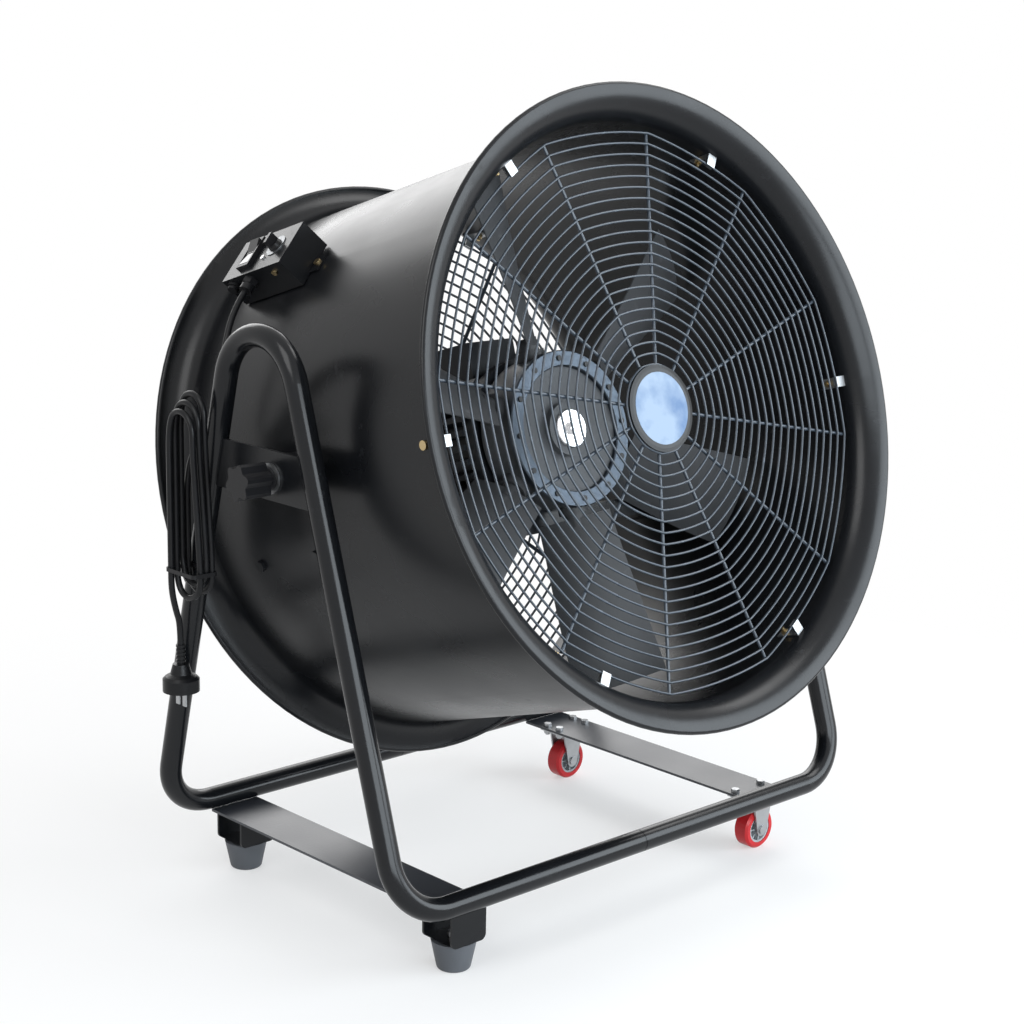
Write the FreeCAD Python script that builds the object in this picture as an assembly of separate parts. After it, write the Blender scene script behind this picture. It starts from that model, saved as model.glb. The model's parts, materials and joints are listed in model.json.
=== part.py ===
import FreeCAD, Part
import math
import os

Vector = FreeCAD.Vector
os.makedirs("parts", exist_ok=True)

# Named dimensions in mm, angles in degrees.
# Drum: stations run along the drum axis from the pivot, forward positive.
tilt_angle = 17.0
drum_inner_r = 314.0
sheet = 1.6
flare_r = 32.5
bead_r = 3.5
front_bead_station = 257.3
rear_bead_station = -218.0
drum_outer_r = drum_inner_r + sheet
front_throat = front_bead_station + bead_r - flare_r
rear_throat = rear_bead_station - bead_r + flare_r

# Wire guards.
front_guard_station = 230.5
front_ring_gap = 8.0
front_inner_ring_r = 48.75
front_ring_count = 22
front_wire = 2.6
front_spoke = 4.0
front_spoke_angle = 11.5
rear_guard_station = -191.0
rear_ring_gap = 9.0
rear_inner_ring_r = 73.0
rear_ring_count = 17
rear_wire = 3.0
rear_spoke = 5.0
rear_spoke_angle = 8.5
spoke_count = 12
ring_bow_share = 0.55
disc_r = 47.5
disc_thickness = 2.0
disc_lip = 4.0
badge_gap = 8.0
badge_thickness = 0.8
badge_recess = 0.6

# Guard clips and their screws.
clip_count = 6
clip_angle = 30.0
clip_width = 12.0
clip_thickness = 1.6
clip_reach = 14.0
clip_tail = 8.0
screw_offset = 19.7
screw_head_r = 5.0
screw_head_height = 3.0
screw_shank_r = 2.2
screw_inner_length = 7.0
nut_r = 4.2
nut_height = 3.2
hole_gap = 0.1

# Impeller.
hub_rear = 36.0
hub_front = 84.0
hub_r = 86.0
hub_wall = 8.0
hub_web_rear = 57.0
hub_web = 7.0
hub_boss_r = 30.5
hub_boss_front = 89.0
ring_inner_r = 71.0
ring_outer_r = 89.0
ring_front = 91.8
ring_chamfer = 1.2
plate_drop = 6.0
plate_thickness = 2.0
fit_gap = 0.03
hub_screw_count = 12
hub_screw_r = 3.2
hub_screw_head = 1.6
hub_screw_circle_r = 80.0
cap_r = 22.0
cap_thickness = 4.0
cap_bolt_r = 8.0
cap_bolt_height = 5.5
blade_count = 6
blade_angle = 53.0
blade_root_r = 101.0
blade_tip_gap = 16.0
shank_r = 12.0
shank_station = 58.0
shank_overlap = 9.0
clamp_r = 17.0
clamp_height = 9.0
blade_tip_half = 50.0
blade_tip_front = 84.0
blade_tip_rear = 36.0
blade_tip_thickness = 2.8
blade_tip_camber = 8.0
blade_radii_shares = (0.0, 0.35, 0.7, 1.0)
blade_front_edge_shares = (-0.54, -0.68, -0.86, -1.0)
blade_front_station_shares = (1.05, 1.035, 1.02, 1.0)
blade_rear_edge_shares = (0.6, 0.76, 0.92, 1.0)
blade_rear_station_shares = (0.75, 0.81, 0.89, 1.0)
blade_thickness_shares = (2.1, 1.6, 1.3, 1.0)
blade_camber_shares = (0.88, 1.0, 1.06, 1.0)

# Motor.
shaft_r = 14.0
shaft_rear = -146.0
running_gap = 0.05
frame_rear = -130.0
frame_front = 14.0
frame_r = 82.0
frame_wall = 8.0
fin_height = 14.0
fin_count = 36
fin_fill_share = 0.4
fin_top_angle = 31.0
fin_bottom_angle = 131.0
shield_thickness = 14.0
shield_rim = 9.0
bearing_r = 31.0
stator_depth = 29.0
stator_length = 100.0
stator_centre = -60.0
rotor_air_gap = 0.6
foot_lift = 6.0
foot_width = 40.0
foot_inset_motor = 4.0
foot_height = 34.0
foot_front = -10.0
foot_rear = -110.0
motor_bolt_r = 4.0
motor_bolt_head_r = 7.0
motor_bolt_head = 5.0
motor_bolt_edge = 10.0
motor_bolt_inset = 14.0
box_half_width = 36.0
box_front = -16.0
box_rear = -96.0
box_height = 38.0
box_lid = 3.0
box_saddle_drop = 20.0

# Shelf that carries the motor.
shelf_thickness = 4.0
shelf_front = 22.0
shelf_rear = -146.0
shelf_lip = 18.0
flange_up = 12.0
flange_down = 32.0
flange_angle = 106.2
flange_front = 12.0
flange_rear = -138.0
shelf_bolt_rear = -114.6
shelf_bolt_front = -12.0
shelf_bolt_r = 4.0
shelf_bolt_head_r = 6.5
shelf_bolt_head = 4.5
shelf_bolt_inner = 14.0
shelf_nut_r = 6.5
shelf_nut = 5.0

# Control box on the upper left of the drum.
control_angle = 44.6
control_rear = -138.4
control_front = -28.5
control_half_width = 30.0
control_height = 38.6
control_wall = 2.0
base_gap = 0.1
base_thickness = 2.0
tab_length = 15.0
tab_half_width = 13.0
tab_screw_inset = 7.0
tab_screw_r = 1.9
tab_head_r = 4.2
tab_head = 2.6
tab_screw_inner = 6.0
rocker_station = -102.0
rocker_across = -1.0
bezel_half_length = 11.0
bezel_half_width = 21.5
bezel_height = 5.0
bezel_wall = 2.2
rocker_gap = 0.4
rocker_half_width = 17.0
rocker_rise = 3.4
rocker_root = 4.0
trunnion_r = 1.4
trunnion_reach = 1.2
trunnion_drop = 2.2
knob_station = -58.0
knob_across = -2.0
dial_r = 14.0
dial_thickness = 1.0
speed_knob_r = 8.5
speed_knob_height = 13.0
speed_grip_half = 2.4
speed_skirt = 4.0
spindle_r = 3.0
lamp_station = -72.0
lamp_across = 12.0
lamp_r = 2.6
lamp_height = 2.0
gland_station = -93.7
gland_height = 27.7
gland_nut_r = 9.0
gland_nut_length = 8.0
gland_cap_r = 7.5
gland_cap_length = 8.0
button_station = -126.0
button_r = 6.0
button_collar_r = 8.0
button_collar = 3.0
button_length = 7.0
button_stroke = 2.0
button_gap = 0.3
earth_station = -49.0
earth_head_r = 3.4
earth_head = 2.2

# Tilting pivot.
hoop_gap = 35.5
pad_r = 24.0
pivot_gap = 0.3
stud_r = 6.0
stud_root = 6.4
stud_reach = 34.9
pivot_plate = 4.0
plate_hole_gap = 0.4
washer_r = 16.5
washer_thickness = 2.5
knob_reach = 45.4
knob_r = 20.5
knob_waist_r = 15.0
knob_lobes = 6
knob_neck_r = 13.0
knob_neck = 8.0

# Stand.
tube_r = 12.7
tube_wall = 1.5
half_base = 211.85
front_leg_gap = 74.9
rear_leg_gap = 104.9
apex_bend_r = 63.3
corner_bend_r = 62.0
pad_height = 33.2
pad_top_r = 25.0
pad_bottom_r = 18.0
pad_round = 4.0
bracket_height = 36.0
bracket_side = 48.0
bracket_wall = 3.0
bracket_round = 7.0
strap_thickness = 3.0
strap_width = 65.0
strap_end_inset = 3.0
strap_inset = 96.1
sleeve_half = 60.0
tube_seam = 0.8
sleeve_gap = 0.05
swing_gap = 2.3
plate_above = 29.7
plate_below = 23.8
foot_inset = 25.85
foot_bolt_r = 4.0
foot_bolt_head_r = 7.0
foot_bolt_head = 5.0
foot_bolt_depth = 15.0

# Casters.
caster_inset = 46.85
wheel_r = 25.0
wheel_half = 10.5
tyre_inner_r = 17.5
tyre_round = 2.5
hub_half = 9.5
axle_r = 3.5
axle_head_r = 5.5
axle_head = 2.0
fork_gap = 1.2
fork_thickness = 2.5
fork_plate_x = 60.0
fork_plate_y = 36.0
fork_top_half = 17.0
fork_eye_r = 8.5
caster_bolt_x = 23.5
caster_bolt_y = 11.2
caster_bolt_r = 2.9
caster_bolt_head_r = 5.2
caster_bolt_head = 4.0
caster_bolt_tail = 2.0

# Cord, hank and plug.
cord_r = 3.5
hank_pitch = 7.5
hank_y = 108.0
hank_bend_r = 22.0
hank_top = 77.2
hank_bottom = -140.8
hank_top_shares = (1.0, 0.883, 0.767)
hank_bottom_shares = (1.0, 0.936, 1.036)
hank_start_drop = 37.8
hank_end_drop = 112.8
lead_first_run = 30.0
lead_last_run = 37.0
lead_span = 100.0
lead_shares = ((0.331, 1.31, 1.152), (0.221, 1.24, 0.722), (0.071, 1.26, 0.322))
tail_first_run = 28.0
tail_shares = (-0.32, 1.345, -1.66)
tail_last_run = 24.0
tie_drop = 116.8
tie_height = 4.5
tie_wall = 1.2
tie_gap = 0.35
plug_out = 24.4
plug_y = 138.0
plug_drop = 206.8
relief_r = 5.2
relief_length = 22.0
relief_groove = 1.0
relief_ribs = 5
plug_neck_r = 9.0
plug_neck_length = 14.0
plug_flange_r = 20.5
plug_flange_length = 17.0
plug_round = 3.0
pin_half_width = 3.1
pin_thickness = 1.6
pin_length = 17.0
pin_spacing = 12.7
pin_root = 6.0

# Derived places.
origin = Vector(0, 0, 0)
x_axis = Vector(1, 0, 0)
y_axis = Vector(0, 1, 0)
z_axis = Vector(0, 0, 1)
hoop_x = drum_outer_r + hoop_gap
hank_x = hoop_x + tube_r + tie_wall + tie_gap + cord_r + fit_gap
tube_z = pad_height + bracket_height + strap_thickness + tube_r
strap_top = tube_z - tube_r
strap_bottom = strap_top - strap_thickness
rim_r = drum_inner_r + flare_r
swing_r = math.hypot(rear_bead_station, rim_r) + bead_r
pivot_z = tube_z + tube_r + swing_r + swing_gap
lean = math.radians(tilt_angle)
front_reach = front_bead_station * math.cos(lean) + rim_r * math.sin(lean)
rear_reach = -rear_bead_station * math.cos(lean) + rim_r * math.sin(lean)
pivot_y = (front_reach - rear_reach) / 2
pivot = Vector(0, pivot_y, pivot_z)
drum_place = FreeCAD.Placement(pivot, FreeCAD.Rotation(x_axis, -tilt_angle))
front_ring_r = drum_inner_r - front_ring_gap
rear_ring_r = drum_inner_r - rear_ring_gap
front_ring_pitch = (front_ring_r - front_inner_ring_r) / (front_ring_count - 1)
rear_ring_pitch = (rear_ring_r - rear_inner_ring_r) / (rear_ring_count - 1)
badge_r = disc_r - badge_gap
blade_tip_r = drum_inner_r - blade_tip_gap
frame_bore_r = frame_r - frame_wall
stator_inner_r = frame_bore_r - stator_depth
rotor_r = stator_inner_r - rotor_air_gap
fin_tip_r = frame_r + fin_height
shield_r = frame_r + shield_rim
shelf_level = -frame_r - foot_lift
foot_outer = frame_r - foot_inset_motor
foot_inner = foot_outer - foot_width
motor_bolt_across = foot_outer - motor_bolt_edge
box_top = frame_r + box_height
box_saddle = frame_r - box_saddle_drop
shelf_bolt_stations = (shelf_bolt_rear, shelf_bolt_front)
stud_start = drum_outer_r + stud_root
stud_end = hoop_x + stud_reach
knob_outer_x = hoop_x + knob_reach
strap_x = hoop_x - strap_inset
caster_x = strap_x
strap_half_length = half_base - strap_end_inset
foot_y = half_base - foot_inset
caster_y = half_base - caster_inset
plate_top = pivot_z + plate_above
plate_bottom = pivot_z - plate_below
hank_tops = [pivot_z + hank_top * share for share in hank_top_shares]
hank_bottoms = [pivot_z + hank_bottom * share for share in hank_bottom_shares]
hank_first_z = pivot_z - hank_start_drop
hank_last_z = pivot_z - hank_end_drop
tie_z = pivot_z - tie_drop
plug_x = hoop_x + plug_out
plug_top = pivot_z - plug_drop
nodes = {}


def add(name, *solids):
    shapes = [part for solid in solids for part in solid.Solids]
    nodes[name] = shapes[0] if len(shapes) == 1 else Part.makeCompound(shapes)


def add_to_drum(name, *solids):
    placed = []
    for solid in solids:
        moved = solid.copy()
        moved.Placement = drum_place.multiply(moved.Placement)
        placed.append(moved)
    add(name, *placed)


def box(x0, x1, y0, y1, z0, z1):
    return Part.makeBox(x1 - x0, y1 - y0, z1 - z0, Vector(x0, y0, z0))


def rod(radius, start, end):
    return Part.makeCylinder(radius, (end - start).Length, start, end - start)


def turned(points):
    corners = [Vector(radius, -station, 0) for radius, station in points]
    face = Part.Face(Part.makePolygon(corners + corners[:1]))
    return face.revolve(origin, y_axis, 360)


def ring(inner, outer, rear, front):
    return turned([(inner, rear), (outer, rear), (outer, front), (inner, front)])


def disc(radius, rear, front):
    return rod(radius, Vector(0, -rear, 0), Vector(0, -front, 0))


def around(shape, angle):
    return shape.copy().rotate(origin, y_axis, angle)


def mirrored(shape):
    return shape.mirror(origin, x_axis)


def prism(points, direction):
    return Part.Face(Part.makePolygon(points + points[:1])).extrude(direction)


def cut_all(shape, tools):
    return shape.cut(Part.makeCompound(tools)) if tools else shape


def hexagon(radius, start, direction):
    turn = FreeCAD.Rotation(z_axis, direction)
    points = []
    for corner in range(6):
        angle = math.radians(60 * corner)
        points.append(start + turn.multVec(Vector(radius * math.cos(angle), radius * math.sin(angle), 0)))
    return prism(points, direction)


# Drum shell with a bell mouth and a rolled bead at each end.
def profile_point(radius, station):
    return Vector(radius, -station, 0)


def flare_arc(radius, throat, way):
    half = math.radians(45)
    start = profile_point(rim_r - radius, throat)
    middle = profile_point(rim_r - radius * math.cos(half), throat + way * radius * math.sin(half))
    end = profile_point(rim_r, throat + way * radius)
    return Part.Arc(start, middle, end).toShape()


def flare_edges(throat, way):
    lip = throat + way * flare_r
    back = lip - 2 * way * bead_r
    bead_side = profile_point(rim_r + bead_r, lip - way * bead_r)
    bead = Part.Arc(profile_point(rim_r, lip), bead_side, profile_point(rim_r, back)).toShape()
    step = Part.makeLine(profile_point(rim_r, back), profile_point(rim_r, lip - way * sheet))
    return [flare_arc(flare_r, throat, way), bead, step, flare_arc(flare_r - sheet, throat, way)]


shell_edges = flare_edges(front_throat, 1) + flare_edges(rear_throat, -1)
for radius in (drum_inner_r, drum_outer_r):
    shell_edges.append(Part.makeLine(profile_point(radius, front_throat), profile_point(radius, rear_throat)))
shell_wire = Part.Wire(Part.__sortEdges__(shell_edges))
drum_shell = Part.Face(shell_wire).revolve(origin, y_axis, 360)
clip_angles = [clip_angle + 360 / clip_count * index for index in range(clip_count)]
front_screw = front_guard_station - screw_offset
rear_screw = rear_guard_station + screw_offset


def radial_rod(radius, inner, outer, station, angle):
    return around(rod(radius, Vector(0, -station, inner), Vector(0, -station, outer)), angle)


wall_holes = []
for angle in clip_angles:
    for station in (front_screw, rear_screw):
        hole_r = screw_shank_r + hole_gap
        wall_holes.append(radial_rod(hole_r, drum_inner_r - sheet, drum_outer_r + sheet, station, angle))
for angle in (flange_angle, -flange_angle):
    for station in shelf_bolt_stations:
        hole_r = shelf_bolt_r + hole_gap
        wall_holes.append(radial_rod(hole_r, drum_inner_r - sheet, drum_outer_r + sheet, station, angle))
tab_screw_stations = (control_front + tab_screw_inset, control_rear - tab_screw_inset)
for station in tab_screw_stations:
    hole_r = tab_screw_r + hole_gap
    wall_holes.append(radial_rod(hole_r, drum_inner_r - sheet, drum_outer_r + sheet, station, -control_angle))
add_to_drum("drum_shell", cut_all(drum_shell, wall_holes))


# Wire guards: bowed rings on welded spokes.
def bowed_ring(radius, station, wire, start):
    corner_angle = 360 / spoke_count
    bowed = math.cos(math.radians(corner_angle / 2))
    middle = bowed + (1 - bowed) * ring_bow_share
    wires = []
    for edge_r in (radius + wire / 2, radius - wire / 2):
        points = []
        for index in range(2 * spoke_count):
            reach = edge_r * (1 if index % 2 == 0 else middle)
            angle = math.radians(start + corner_angle * index / 2)
            points.append(Vector(reach * math.sin(angle), -station + wire / 2, reach * math.cos(angle)))
        wires.append(Part.makePolygon(points + points[:1]))
    return Part.Face(wires).extrude(Vector(0, -wire, 0))


def wire_guard(radii, station, wire, spoke, start, way):
    solids = [bowed_ring(radius, station, wire, start) for radius in radii]
    near = station - way * wire / 2
    stations = sorted((near, near - way * spoke))
    for index in range(spoke_count):
        bar = box(-spoke / 2, spoke / 2, -stations[1], -stations[0], radii[-1], radii[0])
        solids.append(around(bar, start + 360 / spoke_count * index))
    return solids


front_radii = [front_ring_r - front_ring_pitch * index for index in range(front_ring_count)]
rear_radii = [rear_ring_r - rear_ring_pitch * index for index in range(rear_ring_count)]
front_guard = wire_guard(front_radii, front_guard_station, front_wire, front_spoke, front_spoke_angle, 1)
rear_guard = wire_guard(rear_radii, rear_guard_station, rear_wire, rear_spoke, rear_spoke_angle, -1)
add_to_drum("front_guard", *front_guard)

# Centre disc of the front guard, pressed with a rim, and its bare badge.
disc_rear = front_guard_station + front_wire / 2
disc_front = disc_rear + disc_thickness
disc_points = [
    (0, disc_rear),
    (disc_r, disc_rear),
    (disc_r, disc_front),
    (disc_r - disc_lip, disc_front + badge_recess),
    (badge_r + hole_gap, disc_front + badge_recess),
    (badge_r + hole_gap, disc_front),
    (0, disc_front),
]
add_to_drum("guard_disc", turned(disc_points))
add_to_drum("guard_badge", disc(badge_r, disc_front, disc_front + badge_thickness))
rear_disc_front = rear_guard_station - rear_wire / 2
rear_disc = disc(rear_radii[-2], rear_disc_front - disc_thickness, rear_disc_front)
add_to_drum("rear_guard", rear_disc, *rear_guard)


# Clips grip the outer ring of each guard and screw to the drum wall.
clip_seat = math.sqrt(drum_inner_r**2 - (clip_width / 2) ** 2)


def clip(station, wire, way):
    outer = station + way * (wire / 2 + clip_thickness)
    inner = station - way * (wire / 2 + clip_thickness)
    tail = station - way * (screw_offset + clip_tail)
    half = clip_width / 2
    low = clip_seat - clip_reach
    tab = sorted((-outer, -tail))
    front_leg = sorted((-outer, -station - way * -wire / 2 - way * wire))
    rear_leg = sorted((-inner, -station + way * wire / 2))
    solid = box(-half, half, tab[0], tab[1], clip_seat - clip_thickness, clip_seat)
    solid = solid.fuse(box(-half, half, front_leg[0], front_leg[1], low, clip_seat))
    solid = solid.fuse(box(-half, half, rear_leg[0], rear_leg[1], low, clip_seat)).removeSplitter()
    screw = station - way * screw_offset
    hole = radial_rod(screw_shank_r + hole_gap, low, clip_seat + sheet, screw, 0)
    return solid.cut(hole)


def wall_screw(station, inner_length):
    low = clip_seat - clip_thickness
    shank = radial_rod(screw_shank_r, low - inner_length, drum_outer_r, station, 0)
    head = radial_rod(screw_head_r, drum_outer_r, drum_outer_r + screw_head_height, station, 0)
    nut_start = Vector(0, -station, low - nut_height)
    nut = hexagon(nut_r, nut_start, Vector(0, 0, nut_height))
    return shank.fuse([head, nut]).removeSplitter()


front_clip = clip(front_guard_station, front_wire, 1)
rear_clip = clip(rear_guard_station, rear_wire, -1)
add_to_drum("guard_clips", *[around(part, angle) for part in (front_clip, rear_clip) for angle in clip_angles])
screws = []
for station in (front_screw, rear_screw):
    screw = wall_screw(station, screw_inner_length)
    screws.extend(around(screw, angle) for angle in clip_angles)
add_to_drum("clip_screws", *screws)

# Motor: finned frame on feet, end shields, bearings, stator, terminal box.
fin_points = []
for index in range(fin_count):
    centre = 360 / fin_count * index
    away = min(centre, 360 - centre)
    half = 360 / fin_count * fin_fill_share / 2
    plain = away < fin_top_angle or away > fin_bottom_angle
    tip = frame_r if plain else fin_tip_r
    for side, radius in ((-1, frame_r), (-1, tip), (1, tip), (1, frame_r)):
        if plain and radius is tip and side == 1:
            continue
        angle = math.radians(centre + side * half)
        point = Vector(radius * math.sin(angle), -frame_rear, radius * math.cos(angle))
        if not fin_points or (point - fin_points[-1]).Length > running_gap:
            fin_points.append(point)
frame = prism(fin_points, Vector(0, frame_rear - frame_front, 0))
for side in (-1, 1):
    across = sorted((side * foot_inner, side * foot_outer))
    foot = box(across[0], across[1], -foot_front, -foot_rear, shelf_level, shelf_level + foot_height)
    frame = frame.fuse(foot)
bolt_stations = (foot_front - motor_bolt_inset, foot_rear + motor_bolt_inset)
motor_bolts = []
foot_holes = [disc(frame_bore_r, frame_rear - sheet, frame_front + sheet)]
shelf_holes = []
for side in (-1, 1):
    for station in bolt_stations:
        across = side * motor_bolt_across
        low = Vector(across, -station, shelf_level - shelf_thickness)
        high = Vector(across, -station, shelf_level + foot_height)
        top = high + Vector(0, 0, motor_bolt_head)
        end = low - Vector(0, 0, 2 * motor_bolt_head)
        shank = rod(motor_bolt_r, end, high)
        nut = hexagon(motor_bolt_head_r, low - Vector(0, 0, motor_bolt_head), Vector(0, 0, motor_bolt_head))
        head = hexagon(motor_bolt_head_r, high, Vector(0, 0, motor_bolt_head))
        motor_bolts.append(shank.fuse([nut, head]).removeSplitter())
        hole = rod(motor_bolt_r + hole_gap, end, high)
        foot_holes.append(hole)
        shelf_holes.append(hole)
        foot_holes.append(rod(motor_bolt_head_r + hole_gap, high, top + Vector(0, 0, frame_r)))
frame = cut_all(frame.removeSplitter(), foot_holes)
add_to_drum("motor_frame", frame)
add_to_drum("motor_bolts", *motor_bolts)
bearing_bore = bearing_r + fit_gap
front_shield = ring(bearing_bore, shield_r, frame_front, frame_front + shield_thickness)
rear_shield = ring(bearing_bore, shield_r, frame_rear - shield_thickness, frame_rear)
above_shelf = box(-shield_r, shield_r, -shelf_front - shelf_lip, -shelf_rear, shelf_level, shield_r)
add_to_drum("motor_shields", front_shield.common(above_shelf), rear_shield.common(above_shelf))
shaft_bore = shaft_r + running_gap
front_bearing = ring(shaft_bore, bearing_r, frame_front, frame_front + shield_thickness)
rear_bearing = ring(shaft_bore, bearing_r, frame_rear - shield_thickness, frame_rear)
add_to_drum("motor_bearings", front_bearing, rear_bearing)
stator_rear = stator_centre - stator_length / 2
stator_front = stator_centre + stator_length / 2
add_to_drum("stator_core", ring(stator_inner_r, frame_bore_r - fit_gap, stator_rear, stator_front))
lid_low = box_top - box_lid
terminal = box(-box_half_width, box_half_width, -box_front, -box_rear, box_saddle, lid_low)
inside = box(
    -box_half_width + box_lid, box_half_width - box_lid, -box_front + box_lid, -box_rear - box_lid,
    frame_r + box_lid, lid_low)
terminal = terminal.cut(disc(frame_r + fit_gap, frame_rear, frame_front)).cut(inside)
terminal_lid = box(-box_half_width, box_half_width, -box_front, -box_rear, lid_low, box_top)
add_to_drum("terminal_box", terminal, terminal_lid)

# Shelf across the drum, bolted through the wall.
flange_seat = math.sqrt(drum_inner_r**2 - flange_down**2)
flange_lean = math.radians(flange_angle)
web_reach = flange_seat - shelf_thickness / 2 - shelf_level * math.cos(flange_lean)
shelf_half_span = web_reach / math.sin(flange_lean)
shelf_low = shelf_level - shelf_thickness
shelf = box(-shelf_half_span, shelf_half_span, -shelf_front, -shelf_rear, shelf_low, shelf_level)
lip_half = shelf_half_span - flange_down
for station in (shelf_front - shelf_thickness, shelf_rear):
    lip = box(-lip_half, lip_half, -station - shelf_thickness, -station, shelf_low - shelf_lip, shelf_low)
    shelf = shelf.fuse(lip)
flange = box(-flange_up, flange_down, -flange_front, -flange_rear, flange_seat - shelf_thickness, flange_seat)
shelf_bolts = []
for station in shelf_bolt_stations:
    low = flange_seat - shelf_thickness
    shank = radial_rod(shelf_bolt_r, low - shelf_bolt_inner, drum_outer_r, station, 0)
    head = hexagon(shelf_bolt_head_r, Vector(0, -station, drum_outer_r), Vector(0, 0, shelf_bolt_head))
    nut = hexagon(shelf_nut_r, Vector(0, -station, low - shelf_nut), Vector(0, 0, shelf_nut))
    bolt = shank.fuse([head, nut]).removeSplitter()
    shelf_bolts.append(around(bolt, flange_angle))
    shelf_bolts.append(mirrored(around(bolt, flange_angle)))
right_flange = around(flange, flange_angle)
shelf = shelf.fuse([right_flange, mirrored(right_flange)]).removeSplitter()
bolt_paths = []
for station in shelf_bolt_stations:
    path = radial_rod(shelf_nut_r + hole_gap, flange_seat - 2 * shelf_lip, flange_seat - shelf_thickness, station, 0)
    path = path.fuse(radial_rod(shelf_bolt_r + hole_gap, flange_seat - shelf_lip, drum_outer_r, station, 0))
    bolt_paths.append(around(path, flange_angle))
    bolt_paths.append(mirrored(around(path, flange_angle)))
add_to_drum("motor_shelf", cut_all(shelf, shelf_holes + bolt_paths))
add_to_drum("shelf_bolts", *shelf_bolts)

# Impeller on the motor shaft.
add_to_drum("motor_shaft", disc(shaft_r, shaft_rear, hub_boss_front))
add_to_drum("rotor_core", ring(shaft_r + fit_gap, rotor_r, stator_rear, stator_front))
hub_inner = hub_r - hub_wall
web_front = hub_web_rear + hub_web
hub_points = [
    (shaft_r + fit_gap, hub_rear),
    (hub_boss_r, hub_rear),
    (hub_boss_r, hub_web_rear),
    (hub_inner, hub_web_rear),
    (hub_inner, hub_rear),
    (hub_r, hub_rear),
    (hub_r, hub_front),
    (hub_inner, hub_front),
    (hub_inner, web_front),
    (hub_boss_r, web_front),
    (hub_boss_r, hub_boss_front),
    (shaft_r + fit_gap, hub_boss_front),
]
add_to_drum("impeller_hub", turned(hub_points))
ring_points = [
    (ring_inner_r, hub_front),
    (ring_outer_r, hub_front),
    (ring_outer_r, ring_front - ring_chamfer),
    (ring_outer_r - ring_chamfer, ring_front),
    (ring_inner_r + ring_chamfer, ring_front),
    (ring_inner_r, ring_front - ring_chamfer),
]
add_to_drum("hub_ring", turned(ring_points))
plate_edge = ring_inner_r - fit_gap
plate_points = [
    (hub_boss_r + fit_gap, hub_front - plate_drop),
    (plate_edge, hub_front),
    (plate_edge, hub_front + plate_thickness),
    (hub_boss_r + fit_gap, hub_front - plate_drop + plate_thickness),
]
add_to_drum("hub_plate", turned(plate_points))
hub_screws = []
for index in range(hub_screw_count):
    head = rod(
        hub_screw_r, Vector(0, -ring_front, hub_screw_circle_r),
        Vector(0, -ring_front - hub_screw_head, hub_screw_circle_r))
    hub_screws.append(around(head, 360 / hub_screw_count * index))
add_to_drum("hub_screws", *hub_screws)
cap_front = hub_boss_front + cap_thickness
cap_points = [
    (0, hub_boss_front),
    (cap_r, hub_boss_front),
    (cap_r, cap_front - ring_chamfer),
    (cap_r - ring_chamfer, cap_front),
    (0, cap_front),
]
cap_bolt = hexagon(cap_bolt_r, Vector(0, -cap_front, 0), Vector(0, -cap_bolt_height, 0))
add_to_drum("hub_cap", turned(cap_points).fuse(cap_bolt).removeSplitter())


def blade_section(index):
    height = blade_root_r + (blade_tip_r - blade_root_r) * blade_radii_shares[index]
    front = Vector(
        blade_tip_half * blade_front_edge_shares[index], -blade_tip_front * blade_front_station_shares[index],
        height)
    rear = Vector(
        blade_tip_half * blade_rear_edge_shares[index], -blade_tip_rear * blade_rear_station_shares[index],
        height)
    along = rear - front
    side = Vector(-along.y, along.x, 0).normalize()
    middle = (front + rear) * 0.5 - side * (blade_tip_camber * blade_camber_shares[index])
    half = side * (blade_tip_thickness * blade_thickness_shares[index] / 2)
    edge = side * (blade_tip_thickness / 4)
    top = Part.Arc(front + edge, middle + half, rear + edge).toShape()
    bottom = Part.Arc(rear - edge, middle - half, front - edge).toShape()
    nose = Part.makeLine(front - edge, front + edge)
    heel = Part.makeLine(rear + edge, rear - edge)
    return Part.Wire([top, heel, bottom, nose])


sections = [blade_section(index) for index in range(len(blade_radii_shares))]
blade = Part.makeLoft(sections, True, False)
hub_side = disc(hub_r + fit_gap, hub_rear, hub_front)
shank_low = Vector(0, -shank_station, hub_r - hub_wall / 2)
shank_top = Vector(0, -shank_station, blade_root_r + shank_overlap)
clamp_top = Vector(0, -shank_station, hub_r + clamp_height)
shank = rod(shank_r, shank_low, shank_top).fuse(rod(clamp_r, shank_low, clamp_top)).cut(hub_side)
blade = blade.fuse(shank).removeSplitter()
blades = [around(blade, blade_angle + 360 / blade_count * index) for index in range(blade_count)]
add_to_drum("blades", *blades)


# Control box: built upright on the drum top, then turned to its place.
def add_control(name, *solids):
    add_to_drum(name, *[around(solid, -control_angle) for solid in solids])


base_low = drum_outer_r + base_gap
base_top = base_low + base_thickness
control_top = base_low + control_height
half_width = control_half_width
base = box(-half_width, half_width, -control_front, -control_rear, base_low, base_top)
control_screws = []
for station in tab_screw_stations:
    tab = box(
        -tab_half_width, tab_half_width, -control_front - tab_length, -control_rear + tab_length,
        base_low, base_top)
    base = base.fuse(tab)
    shank = radial_rod(tab_screw_r, drum_inner_r - tab_screw_inner, base_top, station, 0)
    head = radial_rod(tab_head_r, base_top, base_top + tab_head, station, 0)
    control_screws.append(shank.fuse(head).removeSplitter())
base = base.removeSplitter()
base_holes = [
    radial_rod(tab_screw_r + hole_gap, base_low - sheet, base_top + sheet, station, 0)
    for station in tab_screw_stations]
add_control("control_base", cut_all(base, base_holes))
shell = box(-half_width, half_width, -control_front, -control_rear, base_top, control_top)
hollow = box(
    -half_width + control_wall, half_width - control_wall, -control_front + control_wall,
    -control_rear - control_wall, base_top, control_top - control_wall)
rocker_x = -rocker_across
knob_x = -knob_across
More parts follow.
